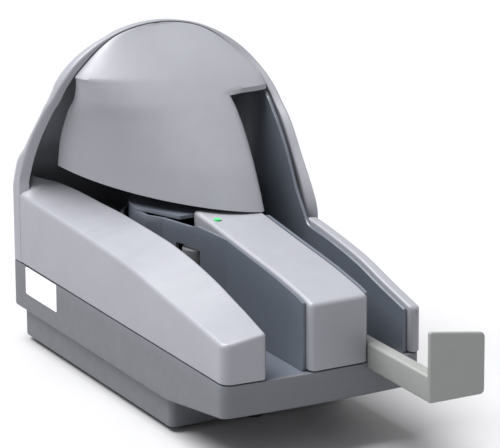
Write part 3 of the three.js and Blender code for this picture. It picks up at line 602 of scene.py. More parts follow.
# ---- Hood, arm and right wall ----------------------------------------------------------------------
@dataclass
class HoodForm:
    """The hood's outer form, shared by the housing and the cover that lies between its rims."""

    low: float = HOUSING_FOOT
    shoulder: float = 160.0
    rise: float = 42.8
    shift: float = 3.0
    corner: float = 20.0
    foot_corner: float = 6.0
    rim: float = 4.5
    gap: float = 0.3
    crown_seam: float = 205.0
    arm_top: float = 94.0
    corner_growth: tuple[float, float] = (95.0, 145.0)
    rim_fade: tuple[float, float] = (0.55, 1.2)
    rim_lost: float = 0.84
    back: Curve = curve(
        (95, 276), (110, 273), (125, 260), (140, 246.5), (155, 235), (170, 224), (180, 216.5), (190, 211.5),
        (197, 208.5), (203.5, 206))
    left_rim: Curve = curve(
        (48, 262), (98, 262), (108, 258), (128, 244.5), (151, 223), (164, 209), (176, 205), (203, 205))
    right_rim: Curve = curve(
        (48, 117), (97, 117), (135, 139), (149, 150), (158, 161), (166, 170), (178, 183), (188, 191),
        (195, 197), (203, 205))

    @property
    def middle(self) -> float:
        """Half the body's width."""
        return BODY_WIDTH / 2

    def span(self, z: Array, inset: Array | float) -> tuple[Array, Array]:
        """Middle and half width at a height: upright to the shoulder, then a quarter ellipse to the crown.

        Args:
            z: heights.
            inset: distance inside the outer skin.

        Returns:
            The middle's x and the half width.
        """
        s = np.clip((z - self.shoulder) / (self.rise - inset), 0, 1)
        return self.middle + self.shift * s**2, (self.middle - inset) * np.sqrt(1 - s**2)

    def thinning(self, angle: Array) -> Array:
        """Share of the rim's width at a crown angle: whole up the sides, a sliver over the crown."""
        start, end = self.rim_fade
        return 1 - self.rim_lost * ease((angle - start) / (end - start))

    def seam(self, z: Array) -> tuple[Array, Array]:
        """Middle and half width just inside the rims, where the cover ends.

        Args:
            z: heights.

        Returns:
            The middle's x and the half width, read off the seam's curve.
        """
        angle = quarter(181)
        inset = self.rim * self.thinning(angle) + self.gap
        height = self.shoulder + (self.rise - inset) * np.sin(angle)
        height, order = np.unique(height, return_index=True)
        half = ((self.middle - inset) * np.cos(angle))[order]
        centre = (self.middle + self.shift * np.sin(angle) ** 2)[order]
        return np.interp(z, height, centre), np.interp(z, height, half)

    @property
    def seam_top(self) -> float:
        """Height of the seam's highest point."""
        return self.shoulder + self.rise - self.rim * float(self.thinning(math.pi / 2)) - self.gap

    def opening(self, x: Array, z: Array) -> Array:
        """Depth of the rims' front plane, ruled straight from the left rim to the right rim."""
        left, right = self.left_rim(z), self.right_rim(z)
        return left + (right - left) * x / BODY_WIDTH

    def rows(self) -> tuple[Array, Array]:
        """Heights of the hood's rows as (upright height, crown angle): even steps up, then round the crown.

        Returns:
            The upright part's height, and the angle that carries it over the crown.
        """
        upright = stations((self.low, self.arm_top, 12), (self.arm_top, self.shoulder, 30))
        crown = quarter(34)[1:]
        return (np.concatenate([upright, np.full(len(crown), self.shoulder)]),
                np.concatenate([np.zeros(len(upright)), crown]))


@dataclass
class UpperHousing:
    """Sloping left arm, hood and right wall, moulded in one piece."""

    form: HoodForm
    wall: float = 2.6
    rim_edge: float = 1.5
    rim_depth: float = 7.0
    corner_radius: float = 5.0
    arm_end: float = 262.3
    right_end: float = 117.3
    right_left: float = 118.0
    window_margin: float = 5.0
    crest: Curve = curve(
        (0, 75), (30, 82), (58, 89), (90, 94.4), (120, 97), (169, 98), (208, 99), (240, 99.5), (252, 100.5),
        (262, 104.5))
    crease: Curve = curve(
        (0, 71), (31, 75), (66, 79), (112, 85), (151, 87.7), (215, 90), (276, 91))
    right_top: Curve = curve(
        (0, 75), (30, 82), (58, 89), (90, 94), (117, 97), (150, 99))
    inner_edge: Curve = curve(
        (0, 26), (28, 27.4), (169, 27.4), (203, 25.4), (228, 24.3), (250, 20.7), (259, 12.5), (276, 6))

    def _hood_side(self, mirrored: bool) -> Callable[[Array, Array], Array]:
        """Gives the function that places a point on one side of the hood.

        Args:
            mirrored: False for the left side, True for the right.

        Returns:
            A function of the inset and the depth behind the rims' front plane.
        """
        upright, angle = self.form.rows()
        sign = 1.0 if mirrored else -1.0

        def point(inset: Array, behind: Array) -> Array:
            """Point at an inset from the skin and a distance behind the front plane, for every row."""
            z = upright[:, None] + (self.form.rise - inset) * np.sin(angle)[:, None]
            centre = self.form.middle + self.form.shift * np.sin(angle)[:, None] ** 2
            x = centre + sign * (self.form.middle - inset) * np.cos(angle)[:, None]
            return columns(x, self.form.opening(x, z) + behind, z)

        return point

    def _skin(self, inset: float, start: float) -> Array:
        """The skin round the back, from just behind the left rim to just behind the right rim.

        In plan each row runs back along the left side, round a circular corner, across the back, round
        the other corner and forward to the right rim.

        Args:
            inset: distance inside the outer skin.
            start: distance behind the rims' front plane where it starts, per row.

        Returns:
            (row, column, 3) points.
        """
        form = self.form
        upright, angle = form.rows()
        z = upright + (form.rise - inset) * np.sin(angle)
        centre = form.middle + form.shift * np.sin(angle) ** 2
        half = (form.middle - inset) * np.cos(angle)
        back = form.back(z) - inset
        low, high = form.corner_growth
        growth = np.clip((z - low) / (high - low), 0, 1)
        radius = form.foot_corner + (form.corner - form.foot_corner) * growth - inset
        room = np.maximum(0.8 * (back - form.crown_seam), 1)
        radius = np.minimum(np.minimum(np.maximum(radius, 1), half), room)
        swing = quarter(13)
        t = np.linspace(0, 1, 17)
        sides = []
        for sign in (-1.0, 1.0):
            edge = centre + sign * half
            front = form.opening(edge, z) + start
            rear = np.maximum(back - radius, front)
            side_y = front[:, None] + (rear - front)[:, None] * t
            side_x = np.broadcast_to(edge[:, None], side_y.shape)
            arc_x = edge[:, None] - sign * radius[:, None] * (1 - np.cos(swing))
            arc_y = rear[:, None] + (back - rear)[:, None] * np.sin(swing)
            sides.append((np.concatenate([side_x, arc_x[:, 1:]], 1),
                          np.concatenate([side_y, arc_y[:, 1:]], 1)))
        (left_x, left_y), (right_x, right_y) = sides
        u = np.linspace(0, 1, 21)[1:-1]
        rear_x = left_x[:, -1:] + (right_x[:, -1:] - left_x[:, -1:]) * u
        rear_y = left_y[:, -1:] + (right_y[:, -1:] - left_y[:, -1:]) * u
        x = np.concatenate([left_x, rear_x, right_x[:, ::-1]], 1)
        y = np.concatenate([left_y, rear_y, right_y[:, ::-1]], 1)
        return columns(x, y, z[:, None])

    def hood(self) -> bpy.types.Object:
        """The hood: outer skin, two rims that face forward, and an inner skin in a slightly darker copy of
        the silver, which is painted shade.

        Returns:
            The hood's object.
        """
        form = self.form
        upright, angle = form.rows()
        sweep = quarter(6)
        thin = form.thinning(angle)[:, None]
        radius = np.minimum(self.rim_edge * ease((upright - 97) / 20)[:, None], 0.4 * form.rim * thin)
        rims = []
        for mirrored in (False, True):
            point = self._hood_side(mirrored)
            ones = np.ones((len(upright), 1))
            outer = point(radius * (1 - np.cos(sweep)), radius * (1 - np.sin(sweep)))
            face = point(radius + (form.rim * thin - radius) * np.array([0.1, 0.35, 0.6, 0.8]), 0 * ones)
            turn = sweep[::2]
            inner = point(form.rim * thin * (0.88 + 0.12 * np.sin(turn)), 0.6 * (1 - np.cos(turn)) * ones)
            back = point(form.rim * thin, np.linspace(1.6, self.rim_depth, 4) * ones)
            rims.append((np.concatenate([outer, face, inner], 1), back))
        skin = self._skin(0.0, radius[:, 0])[:, 1:-1]
        lining = self._skin(self.wall, self.rim_depth)
        (left_front, left_back), (right_front, right_back) = rims
        ring = np.concatenate([left_front[:, ::-1], skin, right_front, right_back, lining[:, ::-1],
                               left_back[:, ::-1]], 1)
        light = left_front.shape[1] + skin.shape[1] + right_front.shape[1] + 1
        column = np.arange(ring.shape[1])
        # Slot 1 (the lining and the bottom cap) takes the darker copy of the silver, which is painted
        # shade.
        slot = np.where((column < light) | (column >= ring.shape[1] - 1), 0, 1)
        mould = Mould("upper_housing_hood", "scanner", [SILVER, HOOD_INSIDE_PAINTED_SHADE])
        index = mould.grid(ring, True, np.broadcast_to(slot, (len(ring) - 1, len(column))))
        mould.cap(index[0][::-1], 1)
        return mould.finish(["upper_housing"], "silver_plastic")

    def arm(self) -> bpy.types.Object:
        """The sloping arm: a four-cornered section carried back, with a rounded front.

        Returns:
            The arm's object.
        """
        near = end_depths(self.corner_radius, 9)
        y = np.concatenate([near, stations((self.corner_radius + 3, self.arm_end, 72))])
        side = end_inset(y, self.corner_radius)
        over = end_inset(y, 1.6)
        edge = self.inner_edge(y) - over
        low = self.form.low
        corners = section((side, low), (side, self.crease(y) - over), (edge, self.crest(y) - over),
                          (edge, low))
        ring = rounded_ring(corners, (0.6, 3.0, 1.4, 0.6), 7)
        near_pusher, far_pusher = (corner[1] for corner in local("hopper_pusher"))
        middle = (y[:-1] + y[1:]) / 2
        beside = (middle > near_pusher - self.window_margin) & (middle < far_pusher + self.window_margin)
        return self._moulded("upper_housing_arm", ring, y, ~(beside[:, None] & flat_side(ring, 3, 4)))

    def right_wall(self) -> bpy.types.Object:
        """The low wall right of the exit channel, with rounded edges and front.

        Returns:
            The wall's object.
        """
        near = end_depths(2.6, 6)
        y = np.concatenate([near, stations((5, self.right_end, 40))])
        over = end_inset(y, 2.6)
        top = self.right_top(y) - over * 0.8
        left, right = self.right_left + over, BODY_WIDTH - over
        low = self.form.low
        corners = section((left, low), (left, top), (right, top - 1), (right, low))
        return self._moulded("upper_housing_right_wall", rounded_ring(corners, (0.5, 1.3, 1.6, 0.5), 5), y)

    def _moulded(self, name: str, ring: Array, y: Array, keep: Array | None = None) -> bpy.types.Object:
        """Makes one swept piece of the moulding.

        Args:
            name: the piece's name.
            ring: (station, point, 2) outlines.
            y: depths of the stations.
            keep: cells to keep, so that a window can be left open.

        Returns:
            The object.
        """
        mould = Mould(name, "scanner", [SILVER])
        mould.sweep(ring, y, True, keep)
        return mould.finish(slot="silver_plastic")

    def build(self) -> None:
        """Builds the three parts of the moulding."""
        self.hood()
        self.arm()
        self.right_wall()


@dataclass
class AccessCover:
    """Lift-off dome between the rims, with a finger lip over the exit channel."""

    form: HoodForm
    island_right: float = 90.0
    exit_right: float = 117.7
    foot_right: float = 104.0
    foot_left: float = 113.0
    foot_slope: float = 0.12
    apex_share: float = 0.965
    least_depth: float = 5.0
    lip: float = 164.2
    lip_edge: float = 2.9
    wall: float = 2.4
    left_side: Curve = curve(
        (104, 16), (117, 14.8), (131, 13.2), (146, 11.8), (158, 11.1), (167, 11.2), (174, 11), (180, 8))
    right_side: Curve = curve(
        (104, 91.4), (125, 92.6), (145, 93.6), (155, 93.2), (164, 91.4))
    front: Curve = curve(
        (100, 116), (104, 118), (127, 131), (138, 138.6), (150, 147.6), (158, 154.2), (166, 161.2),
        (175, 170), (185, 181.5), (193, 192), (199, 200.5), (203, 206))

    @property
    def top(self) -> float:
        """Height of the cover's upper edge, under the crown's rim."""
        return self.form.seam_top

    def _edges(self, z: Array, right: float) -> tuple[Array, Array, Array]:
        """Left edge, turning point and right edge of the plan outline at heights z."""
        centre, half = self.form.seam(z)
        left = np.maximum(self.left_side(z), centre - half)
        side = self.right_side(z) if right <= self.island_right else right + 0 * z
        end = np.minimum(side, centre + half)
        return left, np.minimum(self.island_right - 2, end - 2), end

    def _seam(self, x: Array, z: Array) -> Array:
        """Depth of the cover's rear edge, a gap in front of the rims' plane."""
        return self.form.opening(x, z) - self.form.gap

    def _dome(self, z: Array, right: float) -> tuple[Array, Array]:
        """Quarter ellipse in plan from the left edge to the turning point, and the front line beyond.

        Args:
            z: (row, column) heights.
            right: the right edge's x before its flare.

        Returns:
            The ellipse's points and the depth of the front line.
        """
        left, turn, _ = self._edges(z, right)
        swing = quarter(z.shape[1])
        rear = self._seam(left, z)
        front = np.minimum(self.front(z), self._seam(turn, z) - 0.4)
        x = turn - (turn - left) * np.cos(swing)
        y = rear - (rear - front) * np.sin(swing)
        return columns(x, y, z), front

    def build(self) -> bpy.types.Object:
        """Builds the shell: dome, lower right side, lip and the lip's underside.

        Returns:
            The cover's object.
        """
        mould = Mould("access_cover", "cover", [SILVER, HOOD_INSIDE_PAINTED_SHADE])
        swing = quarter(49)
        turn, left = self.island_right - 2, float(self.left_side(self.foot_left))
        x = turn - (turn - left) * np.cos(swing)
        foot = self.foot_right + self.foot_slope * (self.island_right - x)
        rise = np.linspace(0, 1, 41)[:, None]
        low_z = foot + (self.lip - foot) * rise
        lower, _ = self._dome(low_z, self.island_right)
        mould.grid(lower)
        climb = np.sin(np.linspace(0, self.apex_share, 40) * math.pi / 2)[:, None]
        high_z = self.lip + (self.top - self.lip) * climb * np.ones_like(foot)
        upper, _ = self._dome(high_z, self.exit_right)
        mould.grid(upper)
        self._lower_side(mould, lower[:, -1])
        self._upper_side(mould, upper[:, -1], high_z[:, :1])
        # The inner wall takes the darker copy of the silver, which is painted shade.
        return mould.finish(["access_cover"], "silver_plastic", thick=self.wall, bevel=0.5, inside=1)

    def _lower_side(self, mould: Mould, start: Array) -> None:
        """The wall beside the channel: a small corner, then straight back to the rims' plane.

        Args:
            mould: where it goes.
            start: the dome's last column below the lip.
        """
        z = start[:, 2:3]
        _, turn, end = self._edges(z, self.island_right)
        bend = quarter(7)
        reach = end - turn
        x = turn + reach * np.sin(bend)
        y = start[:, 1:2] + reach * (1 - np.cos(bend))
        back = y[:, -1:] + (self._seam(end, z) - y[:, -1:]) * np.linspace(0, 1, 16)[1:]
        x = np.concatenate([x, end + 0 * back], 1)
        y = np.concatenate([y, back], 1)
        mould.grid(columns(x, y, z))

    def _upper_side(self, mould: Mould, start: Array, z: Array) -> None:
        """The lip: straight across the channel, a superellipse corner, and its flat underside.

        Args:
            mould: where it goes.
            start: the dome's last column above the lip.
            z: heights of the rows.
        """
        _, turn, end = self._edges(z, self.exit_right)
        front = start[:, 1:2]
        crown = self.form.shoulder + self.form.rise
        power = 2 + 4 * np.clip((crown - z) / (crown - self.lip), 0, 1)
        rear = np.maximum(self._seam(end, z), front + self.least_depth)
        bend = quarter(33)
        x = turn + (end - turn) * np.sin(bend) ** (2 / power)
        y = rear - (rear - front) * np.cos(bend).clip(0, 1) ** (2 / power)
        upright = self.front(self.lip + self.lip_edge) - self.front(z)
        y = y + ease((x - turn) / 5) * np.maximum(upright, 0)
        y = np.minimum(y, self._seam(x, z + 0 * x))
        mould.grid(columns(x, y, z))
        edge_x, edge_y = x[:1], y[:1]
        inward = np.linspace(0, 1, 9)[:, None]
        depth = edge_y + (self._seam(edge_x, np.full_like(edge_x, self.lip)) - edge_y) * inward
        mould.grid(columns(edge_x, depth, self.lip)[::-1])


@dataclass
class IslandCover:
    """Cover plate of the block between hopper and exit channel."""

    left: float = 53.5
    right: float = 89.7
    end: float = 136.0
    low: float = HOUSING_FOOT
    corner: float = 2.8
    cover_front: float = 100.0
    cover_foot: float = 103.7
    roller_front: float = 91.0
    roller_top: float = 91.5
    rise: Curve = curve(
        (0, 87), (10, 89.8), (35, 94), (75, 98.6), (116, 103.4), (135, 105.4))

    def build(self) -> bpy.types.Object:
        """A rounded section carried back under a rising top, with a window for the feed roller.

        Returns:
            The cover's object.
        """
        near = end_depths(self.corner, 8)
        y = np.concatenate([near, stations((self.corner + 2, self.roller_front, 26),
                                           (self.roller_front, self.end, 16))])
        over = end_inset(y, 2.0)
        left, right = self.left + end_inset(y, self.corner), self.right - over
        top = self.rise(y) - over
        clear = np.where(y > self.cover_front, self.cover_foot, NEVER)
        corners = section((left, self.low), (left, np.minimum(self.roller_top, top - 8)),
                          (left, np.minimum(top, clear + 4.3)), (right, np.minimum(top, clear)),
                          (right, self.low))
        ring = rounded_ring(corners, (0.5, 0.02, 2.4, 2.0, 0.5), 6)
        opened = (y[:-1, None] > self.roller_front - 0.5) & flat_side(ring, 1, 5)
        mould = Mould("island_cover", "scanner", [SILVER])
        mould.sweep(ring, y, True, ~opened)
        return mould.finish(["island_cover"], "silver_plastic")


@dataclass
class Base:
    """Base pan: a bowed tray whose underside rises to the front, on a narrower skirt."""

    top: float = 47.6
    nose: float = 28.7
    skirt_front: float = 73.0
    skirt_top: float = 19.0
    skirt_inset: float = 4.8
    skirt_edge: float = 1.2
    skirt_corners: tuple[float, ...] = (4.0, 4.0, 6.0, 6.0)
    core_x: tuple[float, float] = (40.0, 85.0)
    core_y: tuple[float, float] = (30.0, 240.0)
    socket_gap: float = 0.3
    front_corner: float = 5.0
    rear_corner: float = 6.0
    wall: float = 2.6
    edge: float = 1.3

    def _plan(self, inset: float, sockets: Sequence[float]) -> Array:
        """Plan outline, anticlockwise from the front left, bowed forward between rounded corners.

        Args:
            inset: distance inside the outer wall.
            sockets: x of the socket holes' edges, where the outline needs points.

        Returns:
            (point, 2) outline.
        """
        low, right, back = inset, BODY_WIDTH - inset, BODY_LENGTH - inset
        swing = quarter(9)

        def corner(x: float, y: float, radius: float, start: float) -> Array:
            """Quarter circle about a corner's centre."""
            angle = start + swing
            return columns(x + radius * np.cos(angle), y + radius * np.sin(angle))

        front, rear = self.front_corner - inset, self.rear_corner - inset
        lead_x = np.linspace(low + front, right - front, 41)[1:-1]
        even_x = np.linspace(low + rear, right - rear, 25)
        tail_x = np.unique(np.concatenate([even_x, sockets]).round(4))[-2:0:-1]
        side_y = np.linspace(low + front, back - rear, 60)[1:-1]
        pieces = [corner(low + front, low + front, front, math.pi), columns(lead_x, low),
                  corner(right - front, low + front, front, 1.5 * math.pi), columns(right, side_y),
                  corner(right - rear, back - rear, rear, 0), columns(tail_x, back),
                  corner(low + rear, back - rear, rear, math.pi / 2), columns(low, side_y[::-1])]
        plan = np.concatenate(pieces)
        plan[:, 1] = bowed(*plan.T)
        return plan

    def underside(self, y: Array) -> Array:
        """Height of the underside: straight down from the nose to the skirt, then level."""
        return self.nose + (self.skirt_top - self.nose) * np.clip(y / (self.skirt_front - 3), 0, 1)

    def build(self) -> bpy.types.Object:
        """Builds the wall with its socket holes, the underside and the skirt.

        Returns:
            The base's object.
        """
        holes = [local(node) for node in ("power_jack", "usb_port")]
        gap = self.socket_gap
        spans = [(low[0] - gap, high[0] + gap) for low, high in holes]
        edges = [x for span in spans for x in span]
        hole_low, hole_high = holes[0][0][2] - gap, holes[0][1][2] + gap
        plan = self._plan(0.0, edges)
        foot = self.underside(plan[:, 1])
        swing = quarter(5)
        rings, insets = [], self.edge * (1 - np.sin(swing))
        for angle, inset in zip(swing, insets):
            rings.append(columns(*self._plan(inset, edges).T, foot + self.edge * (1 - math.cos(angle))))
        for z in (hole_low, (hole_low + hole_high) / 2, hole_high, 42.0, self.top - 0.7):
            rings.append(columns(*plan.T, np.maximum(z, foot + self.edge + 0.4)))
        for inset, fall in ((0.2, 0.2), (0.7, 0.0), (self.wall, 0.0)):
            rings.append(columns(*self._plan(inset, edges).T, self.top - fall))
        wall = np.stack(rings)
        middle = (wall + np.roll(wall, -1, 1))[:-1] / 2
        in_rows = (middle[..., 2] > hole_low) & ((wall[:-1, :, 2] + wall[1:, :, 2]) / 2 < hole_high)
        at_back = middle[..., 1] > BODY_LENGTH - 0.1
        is_hole = np.zeros(at_back.shape, bool)
        for left, right in spans:
            is_hole |= at_back & in_rows & (middle[..., 0] > left) & (middle[..., 0] < right)
        mould = Mould("base_pan", "scanner", [BASE_GREY])
        mould.grid(wall, True, keep=~is_hole)
        core = np.column_stack([np.clip(plan[:, 0], *self.core_x), np.clip(plan[:, 1], *self.core_y)])
        shrink = np.linspace(0, 1, 9)[:, None, None]
        under = rings[0][None, :, :2] * (1 - shrink) + core[None] * shrink
        mould.grid(np.dstack([under, self.underside(under[..., 1]) + 0 * under[..., 0]]), True)
        self._skirt(mould)
        return mould.finish(["base_pan"], "base_plastic")

    def _skirt(self, mould: Mould) -> None:
        """The narrower foot: a rounded rectangle standing from the ground line, rounded underneath.

        Args:
            mould: where it goes.
        """
        s = self.skirt_inset
        swing = quarter(5)
        inset = np.concatenate([self.skirt_edge * (1 - np.sin(swing)), [0.0]])
        z = np.concatenate([self.skirt_edge * (1 - np.cos(swing)), [self.skirt_top + 0.6]])
        x0, x1 = s + inset, BODY_WIDTH - s - inset
        y0, y1 = self.skirt_front + inset, BODY_LENGTH - s - inset
        ring = rounded_ring(section((x0, y0), (x1, y0), (x1, y1), (x0, y1)), self.skirt_corners, 8)
        index = mould.grid(columns(ring[..., 0], ring[..., 1], z[:, None]), True)
        mould.cap(index[0][::-1])


@dataclass
class ExitTray:
    """Pull-out tray: a rail, a thin floor and an end stop."""

    left: float = 90.15
    right: float = 115.2
    rail: float = 8.3
    rail_top: float = 58.8
    floor: float = 2.4
    plate: float = 3.0
    bite: float = 1.5
    fall: float = 5.5

    def build(self) -> bpy.types.Object:
        """Three rounded blocks that bite into one another; the end stop's top falls to the right.

        Returns:
            The tray's object.
        """
        low, high = local("exit_tray")
        front, back, foot = low[1] + self.plate, high[1], low[2]
        start, rail_right = front - self.bite, self.left + self.rail
        mould = Mould("exit_tray", "tray", [TRAY_GREY])
        block(mould, (self.left, start, foot), (rail_right, back, self.rail_top), 1.4, 0.6)
        block(mould, (rail_right - self.bite, start, foot + 0.05), (self.right, back, foot + self.floor),
              0.6, 0.4)
        block(mould, low, (high[0], front, high[2]), (1.2, 1.2, 3.0, 2.4), 1.0, self.fall, 6)
        return mould.finish(["exit_tray"], "tray_plastic")


@dataclass
class ExitGuide:
    """Tall dark wall on the right of the exit channel, following the hood's rim."""

    form: HoodForm
    turn: tuple[float, float] = (72.0, 167.3)
    radius: float = 44.7
    thick: float = 2.0
    low: float = 47.6
    front: float = 3.2
    front_low: float = 46.7
    deck_front: float = 78.6
    last_turn: float = 88.0
    edge: float = 0.7
    margin: float = 0.5
    window: tuple[float, float] = (55.3, 89.3)
    gates: tuple[tuple[float, float], ...] = ((16.0, 40.0), (53.0, 79.0))
    tall: Curve = curve(
        (0, 72.8), (15, 76.3), (30, 79.8), (58, 86.8), (90, 91.8), (112, 94.2), (120, 103), (128.4, 114),
        (134.4, 125), (140.4, 135), (147.0, 144), (153.8, 152), (166, 162.6), (172, 163))

    def build(self) -> bpy.types.Object:
        """A wall on a path: straight back along the channel, then round the turn.

        Returns:
            The guide's object.
        """
        straight = stations((self.front, 79.0, 18), (79.0, self.turn[1], 36))
        swing = np.linspace(0, math.radians(self.last_turn), 45)[1:]
        x = np.concatenate([np.full(len(straight), self.turn[0] + self.radius),
                            self.turn[0] + self.radius * np.cos(swing)])
        y = np.concatenate([straight, self.turn[1] + self.radius * np.sin(swing)])
        angle = np.concatenate([np.zeros(len(straight)), swing])
        edge, head = self.edge, self.tall(y)
        foot = np.where(y < self.deck_front, self.front_low, self.low)
        rows = []
        for side, lift in ((-1, None), (-1, 0.0), (-0.3, edge), (0.3, edge), (1, 0.0), (1, None)):
            reach = side * self.thick / 2
            z = foot if lift is None else head - edge + lift
            rows.append(columns(x + reach * np.cos(angle), y + reach * np.sin(angle), z))
        wall = np.stack(rows)
        fine = [wall[0]]
        for z in self.window:
            step = wall[0].copy()
            step[:, 2] = np.clip(z, foot + self.margin, head - edge - self.margin)
            fine.append(step)
        outer = [np.column_stack([wall[-1][:, :2], row[:, 2]]) for row in fine[:0:-1]]
        ring = np.stack([*fine, *wall[1:5], *outer, wall[5]])
        turn = np.degrees(angle[:-1])
        opened = np.zeros((len(ring), len(turn)), bool)
        for start, end in self.gates:
            for row in (1, len(ring) - 3):
                opened[row] |= (turn > start) & (turn < end)
        mould = Mould("exit_guide", "scanner", [SLATE])
        points = np.concatenate([ring, ring[:1]])
        index = mould.grid(points, keep=~opened)
        mould.cap(index[:-1, 0])
        mould.cap(index[:-1, -1][::-1])
        return mould.finish(["exit_guide"], "dark_plastic")


@dataclass
class Rollers:
    """Upright shafts with their tyres, and the idle rollers that press on them."""

    shaft: float = 2.5
    pin: float = 1.5
    driven_bore: float = 2.55
    idle_bore: float = 1.6
    rim: float = 0.9

    def _centre(self, node: str) -> Array:
        """Axis of a round CAD node."""
        low, high = local(node)
        return (low + high)[:2] / 2

    def _tyre(self, node: str, body: str, bore: float, finish: Finish, slot: str) -> None:
        """A tyre with rounded rims and two shallow grooves.

        Args:
            node: the CAD node it stands for.
            body: the body it rides on.
            bore: radius of its bore.
            finish: its material.
            slot: the record's material slot.
        """
        low, high = local(node)
        radius = (high[0] - low[0]) / 2
        outline = rounded_profile(radius, low[2], high[2], self.rim, bore)
        thirds = [low[2] + (high[2] - low[2]) * k / 3 for k in (1, 2)]
        shape = ((0, -1), (0.5, -0.6), (0.5, 0.6), (0, 1))
        groove = [(radius - deep, z + rise) for z in thirds for deep, rise in shape]
        cut = RIM_STEPS + 2  # after the bore's first point and the lower rim
        mould = Mould(node, body, [finish])
        lathe(mould, self._centre(node), [*outline[:cut], *groove, *outline[cut:]], 72)
        mould.finish([node], slot)

    def _shaft(self, node: str, body: str) -> None:
        """A turned shaft with chamfered ends, and a flanged pulley at its foot where it is driven.

        Args:
            node: the CAD node it stands for.
            body: the body it rides on.
        """
        low, high = local(node)
        radius = self.shaft if "shaft" in node else self.pin
        pulley = (high[0] - low[0]) / 2
        head = [(radius, high[2] - 0.5), (radius - 0.5, high[2]), (0, high[2])]
        foot = [(0, low[2]), (radius - 0.4, low[2]), (radius, low[2] + 0.4)]
        if pulley > radius + 1:
            rim, flange = pulley - 1.6, pulley
            foot = [(0, low[2]), (flange - 0.2, low[2]), (flange, low[2] + 0.2), (flange, low[2] + 0.8),
                    (rim, low[2] + 1), (rim, low[2] + 6.7), (rim - 0.3, low[2] + 7), (radius, low[2] + 7)]
        mould = Mould(node, body, [TURNED_STEEL])
        lathe(mould, self._centre(node), [*foot, *head], 48)
        mould.finish([node], "steel")

    def build(self) -> None:
        """Builds every tyre, shaft and pin on the body the frame gives it."""
        wide, slim = self.driven_bore, self.idle_bore
        for where in ("entry", "rear", "exit"):
            self._shaft(f"drive_shaft_{where}", f"drive_roller_{where}")
            self._tyre(f"drive_tyre_{where}", f"drive_roller_{where}", wide, TYRE_GREY, "roller_rubber")
            self._tyre(f"pinch_roller_{where}", f"pinch_{where}_roller", slim, TYRE_GREY, "roller_rubber")
            self._shaft(f"pinch_pin_{where}", "scanner")
        self._shaft("feed_shaft", "feed")
        self._tyre("feed_roller", "feed", wide, TYRE_GREY, "roller_rubber")
        self._shaft("franking_shaft", "franking")
        self._tyre("franking_roller", "franking", wide, INK_BLACK, "ink_black")
        self._tyre("separator_roller", "separator", slim, TYRE_GREY, "roller_rubber")
        self._shaft("separator_pin", "scanner")
        self._shaft("pusher_pin", "scanner")


@dataclass
class SmallParts:
    """Feet and the blank rating label."""

    foot_radius: float = 7.0
    label_proud: float = 0.25

    def feet(self) -> None:
        """Moulded feet with a rounded sole and a shallow ring in it."""
        for where in ("front_centre", "front_left", "front_right", "rear_left", "rear_right"):
            node = f"foot_{where}"
            low, high = local(node)
            r = self.foot_radius
            z = low[2]
            profile = [(0, z + 0.4), (r - 3.2, z + 0.4), (r - 2.8, z), (r - 1.2, z), (r - 0.5, z + 0.25),
                       (r - 0.1, z + 0.8), (r, z + 1.4), (r, high[2]), (0, high[2])]
            mould = Mould(node, "scanner", [FOOT_BLACK])
            lathe(mould, (low + high)[:2] / 2, profile)
            mould.finish([node], "foot_rubber")

    def label(self) -> None:
        """A blank foil plate with rounded corners, a hair proud of the base's left side."""
        low, high = local("label_plate")
        y0, y1, z0, z1 = low[1], high[1], low[2], high[2]
        stack = np.array([[(y0, z0), (y1, z0), (y1, z1), (y0, z1)]])
        ring = rounded_ring(stack, 1.2, 6)[0]
        depth = np.array([0.3, -self.label_proud + 0.08, -self.label_proud, -self.label_proud])
        inset = np.array([0.0, 0.0, 0.08, 0.3])
        centre = np.array([(y0 + y1) / 2, (z0 + z1) / 2])
        outline = ring[None] - np.sign(ring - centre)[None] * inset[:, None, None]
        mould = Mould("label_plate", "scanner", [FOIL_WHITE])
        index = mould.grid(columns(depth[:, None], outline[..., 0], outline[..., 1]), True)
        mould.cap(index[-1])
        mould.cap(index[0][::-1])
        mould.finish(["label_plate"], "label")

    def build(self) -> None:
        """Builds the feet and the label."""
        self.feet()
        self.label()


DRESSED: dict[str, Finish] = {
    "dark_plastic": SLATE, "silver_plastic": SILVER, "base_plastic": BASE_GREY, "tray_plastic": TRAY_GREY,
    "foot_rubber": FOOT_BLACK, "roller_rubber": TYRE_GREY, "steel": TURNED_STEEL, "head_metal": CAN_GREY,
    "ink_black": INK_BLACK, "board": BOARD_GREEN, "label": FOIL_WHITE, "lens": LENS_GREEN,
}


def dress_frame() -> None:
    """Gives every CAD node that stays in view the finish of its material slot."""
    slots = {part["node"]: part["material_slot"] for part in frame["record"]["subparts"]}
    for name, node in frame["nodes"].items():
        node.data.materials.clear()
        node.data.materials.append(DRESSED[slots[name]].make())
    log.info("dressed %d frame nodes", len(frame["nodes"]))


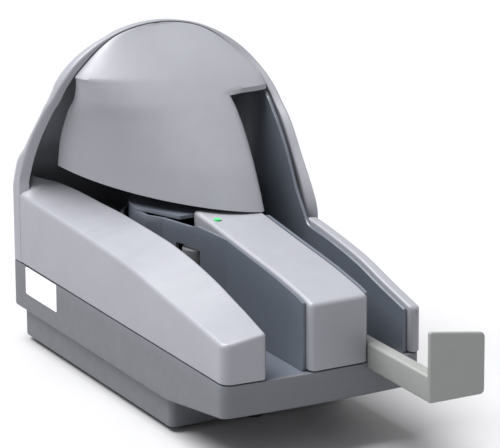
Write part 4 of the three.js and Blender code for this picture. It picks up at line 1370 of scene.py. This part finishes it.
@dataclass
class Studio:
    """Pale floor, soft lights and the camera."""

    azimuth: float = 28.168
    elevation: float = 16.59
    roll: float = -0.3506
    distance: float = 1923.84
    across: float = -14.394
    along: float = -134.74
    lens: float = 252.9396
    sensor: float = 36.0
    floor_reach: float = 8.0
    surround: float = 0.5

    def floor(self) -> None:
        """A pale flat floor that reaches past the camera on every side."""
        line = np.linspace(-self.floor_reach, self.floor_reach, 33)
        points = columns(line[None, :], line[:, None], 0.0)
        mesh = bpy.data.meshes.new("floor")
        index = np.arange(points.shape[0] * points.shape[1]).reshape(points.shape[:2])
        quads = np.stack([index[:-1, :-1], index[:-1, 1:], index[1:, 1:], index[1:, :-1]], -1)
        mesh.from_pydata(points.reshape(-1, 3), [], quads.reshape(-1, 4).tolist())
        mesh.shade_smooth()
        mesh.materials.append(FLOOR_PALE.make())
        made = bpy.data.objects.new("floor", mesh)
        bpy.context.scene.collection.objects.link(made)

    def light(self, name: str, toward: Sequence[float], spread: float, strength: float) -> None:
        """A very wide far light, as a big softbox is.

        Args:
            name: its name.
            toward: direction from the object to it.
            spread: its width as an angle in degrees.
            strength: its irradiance.
        """
        data = bpy.data.lights.new(name, "SUN")
        data.angle = math.radians(spread)
        data.energy = strength
        made = bpy.data.objects.new(name, data)
        made.rotation_euler = Vector(toward).to_track_quat("Z", "Y").to_euler()
        bpy.context.scene.collection.objects.link(made)

    def lights(self) -> None:
        """A softbox overhead to the left and rear, a weak one in front, and an even surround."""
        self.light("overhead", (-0.34, 0.2, 0.92), 50.0, 6.6)
        self.light("front", (0.3, -0.8, 0.5), 60.0, 0.3)
        world = bpy.data.worlds.new("surround")
        bpy.context.scene.world = world
        world.use_nodes = True
        glow = world.node_tree.nodes["Background"].inputs
        glow["Color"].default_value = (1, 1, 1, 1)
        glow["Strength"].default_value = self.surround

    def camera(self) -> None:
        """Camera that looks down at the front left: forward, right and up follow azimuth and elevation."""
        az, el, roll = (math.radians(v) for v in (self.azimuth, self.elevation, self.roll))
        forward = Vector((math.sin(az) * math.cos(el), math.cos(az) * math.cos(el), -math.sin(el)))
        right = Vector((math.cos(az), -math.sin(az), 0))
        up = right.cross(forward)
        turned_right = math.cos(roll) * right + math.sin(roll) * up
        turned_up = -math.sin(roll) * right + math.cos(roll) * up
        place = -self.across * turned_right - self.along * turned_up - self.distance * forward
        data = bpy.data.cameras.new("camera")
        data.sensor_width = self.sensor
        data.lens = self.lens
        data.clip_end = 20
        made = bpy.data.objects.new("camera", data)
        axes = Matrix((turned_right, turned_up, -forward)).transposed().to_4x4()
        made.matrix_world = Matrix.Translation(Vector(place) * MM + Vector(ORIGIN)) @ axes
        bpy.context.scene.collection.objects.link(made)
        bpy.context.scene.camera = made
        bpy.context.scene.view_settings.view_transform = "Standard"

    def build(self) -> None:
        """Builds the floor, lights and camera."""
        self.floor()
        self.lights()
        self.camera()


def main() -> None:
    """Builds the scanner's looks in order."""
    logging.basicConfig(level=logging.INFO, format="%(message)s")
    dress_frame()
    form = HoodForm()
    for part in (UpperHousing(form), AccessCover(form), IslandCover(), Base(), ExitTray(), ExitGuide(form),
                 Rollers(), SmallParts(), Studio()):
        log.info("building %s", type(part).__name__)
        part.build()


if __name__ == "__main__":
    main()
